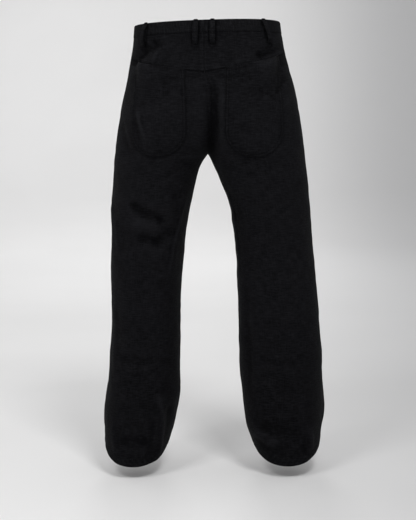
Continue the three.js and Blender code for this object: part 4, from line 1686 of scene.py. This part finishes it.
def pierced(piece, cutters):
    """Gives the piece holes where the cutters pass through it, and removes them."""
    for cutter in cutters:
        cut = piece.modifiers.new(cutter.name, "BOOLEAN")
        cut.operation = "DIFFERENCE"
        cut.solver = "EXACT"
        cut.object = cutter
    evaluated = piece.evaluated_get(bpy.context.evaluated_depsgraph_get())
    mesh = bpy.data.meshes.new_from_object(evaluated)
    piece.modifiers.clear()
    piece.data = mesh
    mesh.shade_smooth()
    mesh.set_sharp_from_angle(angle=LATHE_EDGE)
    for cutter in cutters:
        bpy.data.objects.remove(cutter)


def button_profile():
    """From the middle of the back, round the rim, to the middle of the dished face."""
    half, inside = BUTTON_THICKNESS / 2, BUTTON_RADIUS - BUTTON_RIM
    turn = np.linspace(-math.pi / 2, math.pi / 2, RIM_STEPS)
    edge = [(inside + BUTTON_RIM * math.cos(t), half + half * math.sin(t)) for t in turn]
    dish = [
        (
            lerp(inside, BUTTON_RADIUS - DISH_START * BUTTON_RIM, t),
            BUTTON_THICKNESS - BUTTON_DISH * smoothstep(t, 0, 1),
        )
        for t in np.linspace(0, 1, DISH_STEPS + 1)[1:]
    ]
    back = [(0, 0), (BUTTON_RADIUS - 2 * BUTTON_RIM, 0)]
    return back + edge + dish + [(0, BUTTON_THICKNESS - BUTTON_DISH)]


def pin_profile(radius, start, end):
    return [(0, start), (radius, start), (radius, end), (0, end)]


def waist_button():
    """A four-holed button, sewn on over the buttonhole with crossed-over thread on a shank."""
    side, front = SIDES["left"], -math.pi / 2
    height = below_waist(side, front, BAND_HEIGHT / 2)
    seat = surface(side, front, height, BAND_PROUD + BUTTON_STAND, fine=False)
    centre = np.array([0, seat[1], height])
    button = lathe("horn_button", button_profile(), DARK_HORN, centre)
    asides = (-PIERCED_FROM_CENTRE, PIERCED_FROM_CENTRE)
    corners = [(x, 0, z) for x in asides for z in asides]
    drill = pin_profile(PIERCED_RADIUS, PIERCED_FROM, PIERCED_TO)
    pierced(button, [
        lathe(f"hole_{i}", drill, DARK_HORN, centre + corner) for i, corner in enumerate(corners)
    ])
    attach(button, "root")
    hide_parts("waist_button")
    face = centre + (0, BUTTON_DISH - BUTTON_THICKNESS, 0)
    outward = np.array([[0, -1, 0]] * 2)
    spread = BAR_STRANDS * BAR_PITCH / 2
    bars = [
        Row(Path(face + np.array([(x - spread, 0, 0), (x + spread, 0, 0)]), outward),
            BAR_PITCH, BAR_LENGTH, True)
        for x in asides
    ]
    stitches("button_thread", bars)
    shank = pin_profile(SHANK_RADIUS, -SHANK_LENGTH, SHANK_SUNK)
    wound = lathe("button_shank", shank, BLACK_THREAD, centre)
    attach(wound, "root")


left_front = fronts["left"]
fly_tack = tack(left_front.places(*FLY_TACK, from_end=True))
stitches("fly_stitches", [Row(fly_row(left_front, inset)) for inset in FLY_ROWS] + [fly_tack])
under_fly = left_front.down[:, -1] > FLY_DEPTH + UNDER_FLY
rise_rows = np.where(under_fly & (left_front.points[:, -1, 2] > RISE_STITCHES))[0]
stitches("centre_front_stitches", [
    Row(left_front.lengthwise(row, from_end=True, rows=rise_rows)) for row in FELL_ROWS
])
stitches("buttonhole_stitches", [tack(hole_path(band))])
waist_button()

# ---- Stage, light and camera ----

FLOOR = -1.085
BOWL_INNER, BOWL_FLAT, BOWL_TURN, BOWL_TOP = (0, 1.5, 3.0), 4.4, 2.6, 3.2
BOWL_SIDES, BOWL_RINGS = 128, 20


def studio_floor():
    """A pale floor that turns up into a wall all round, in one sweep."""
    turn = np.linspace(0, math.pi / 2, BOWL_RINGS)
    outer = BOWL_FLAT + np.sin(turn) * BOWL_TURN
    rise = BOWL_TURN - np.cos(turn) * BOWL_TURN
    radius = np.concatenate([BOWL_INNER, outer, [BOWL_FLAT + BOWL_TURN]])
    height = np.concatenate([np.zeros(len(BOWL_INNER)), rise, [BOWL_TOP]]) + FLOOR
    around = np.linspace(0, 2 * math.pi, BOWL_SIDES, endpoint=False)
    points = [
        (r * math.cos(t), r * math.sin(t), h)
        for r, h in zip(radius, height)
        for t in around
    ]
    at = lambda ring, k: ring * BOWL_SIDES + k % BOWL_SIDES
    faces = [
        (at(i, k), at(i, k + 1), at(i + 1, k + 1), at(i + 1, k))
        for i in range(len(radius) - 1)
        for k in range(BOWL_SIDES)
    ]
    material, tree, shader = new_material("Pale paper", Specular_IOR_Level=0.2)
    place = own_place(tree)
    tone = map_range(tree, noise_node(tree, place, 1.3, 2.0), 0.3, 0.7)
    # Painted shade: the paper turns darker toward -X, on one side of the stage.
    painted_side_light = map_range(tree, split_node(tree, place)[0], -1.0, 0.25)
    pale = colour_mix(tree, tone, (0.835, 0.832, 0.832), (0.86, 0.857, 0.857))
    tree.links.new(colour_mix(tree, painted_side_light, (0.56, 0.56, 0.566), pale), shader.inputs["Base Color"])
    shader.inputs["Roughness"].default_value = 0.9
    new_piece("studio_floor", points, faces, material)


def aimed(piece, place, aim):
    """Puts a light or camera at a place and turns it to what it looks at."""
    piece.location = place
    piece.rotation_euler = (Vector(aim) - Vector(place)).to_track_quat("-Z", "Y").to_euler()
    bpy.context.collection.objects.link(piece)


def soft_light(name, place, aim, size, watts):
    data = bpy.data.lights.new(name, "AREA")
    data.shape = "RECTANGLE"
    data.size, data.size_y = size
    data.energy = watts
    aimed(bpy.data.objects.new(name, data), place, aim)


# name, place, what it lights, width and height, watts
LIGHTS = (
    ("key", (-0.9, 2.2, 2.3), (0, 0, 0), (0.8, 0.8), 50),
    ("fill", (1.3, 2.4, 2.1), (0, 0, -0.1), (1.0, 1.0), 33),
    ("front", (0.4, -4.0, 1.7), (0, 0, -0.4), (1.2, 1.2), 34),
    ("left_rim", (2.4, -2.2, 0.6), (0, 0, -0.6), (0.8, 2.4), 5),
    ("right_rim", (-2.4, -2.2, 0.6), (0, 0, -0.6), (0.8, 2.4), 4),
    ("wall", (1.1, -4.2, 1.5), (0.5, -6.0, 0.0), (1.4, 1.2), 25),
)
WORLD_COLOUR, WORLD_STRENGTH = (1.0, 1.0, 1.0, 1), 0.5


studio_floor()
for light in LIGHTS:
    soft_light(*light)

world = bpy.data.worlds.new("studio")
world.use_nodes = True
background = world.node_tree.nodes["Background"]
background.inputs["Color"].default_value = WORLD_COLOUR
background.inputs["Strength"].default_value = WORLD_STRENGTH
bpy.context.scene.world = world

CAMERA_PLACE = (-0.2441, 3.4915, -0.100)
CAMERA_AIM = (0, 0, -0.565)
LENS, SENSOR = 100.5, 36.0

camera_data = bpy.data.cameras.new("camera")
camera_data.lens = LENS
camera_data.sensor_width = SENSOR
camera = bpy.data.objects.new("camera", camera_data)
aimed(camera, CAMERA_PLACE, CAMERA_AIM)
bpy.context.scene.camera = camera
bpy.context.scene.view_settings.view_transform = "Standard"
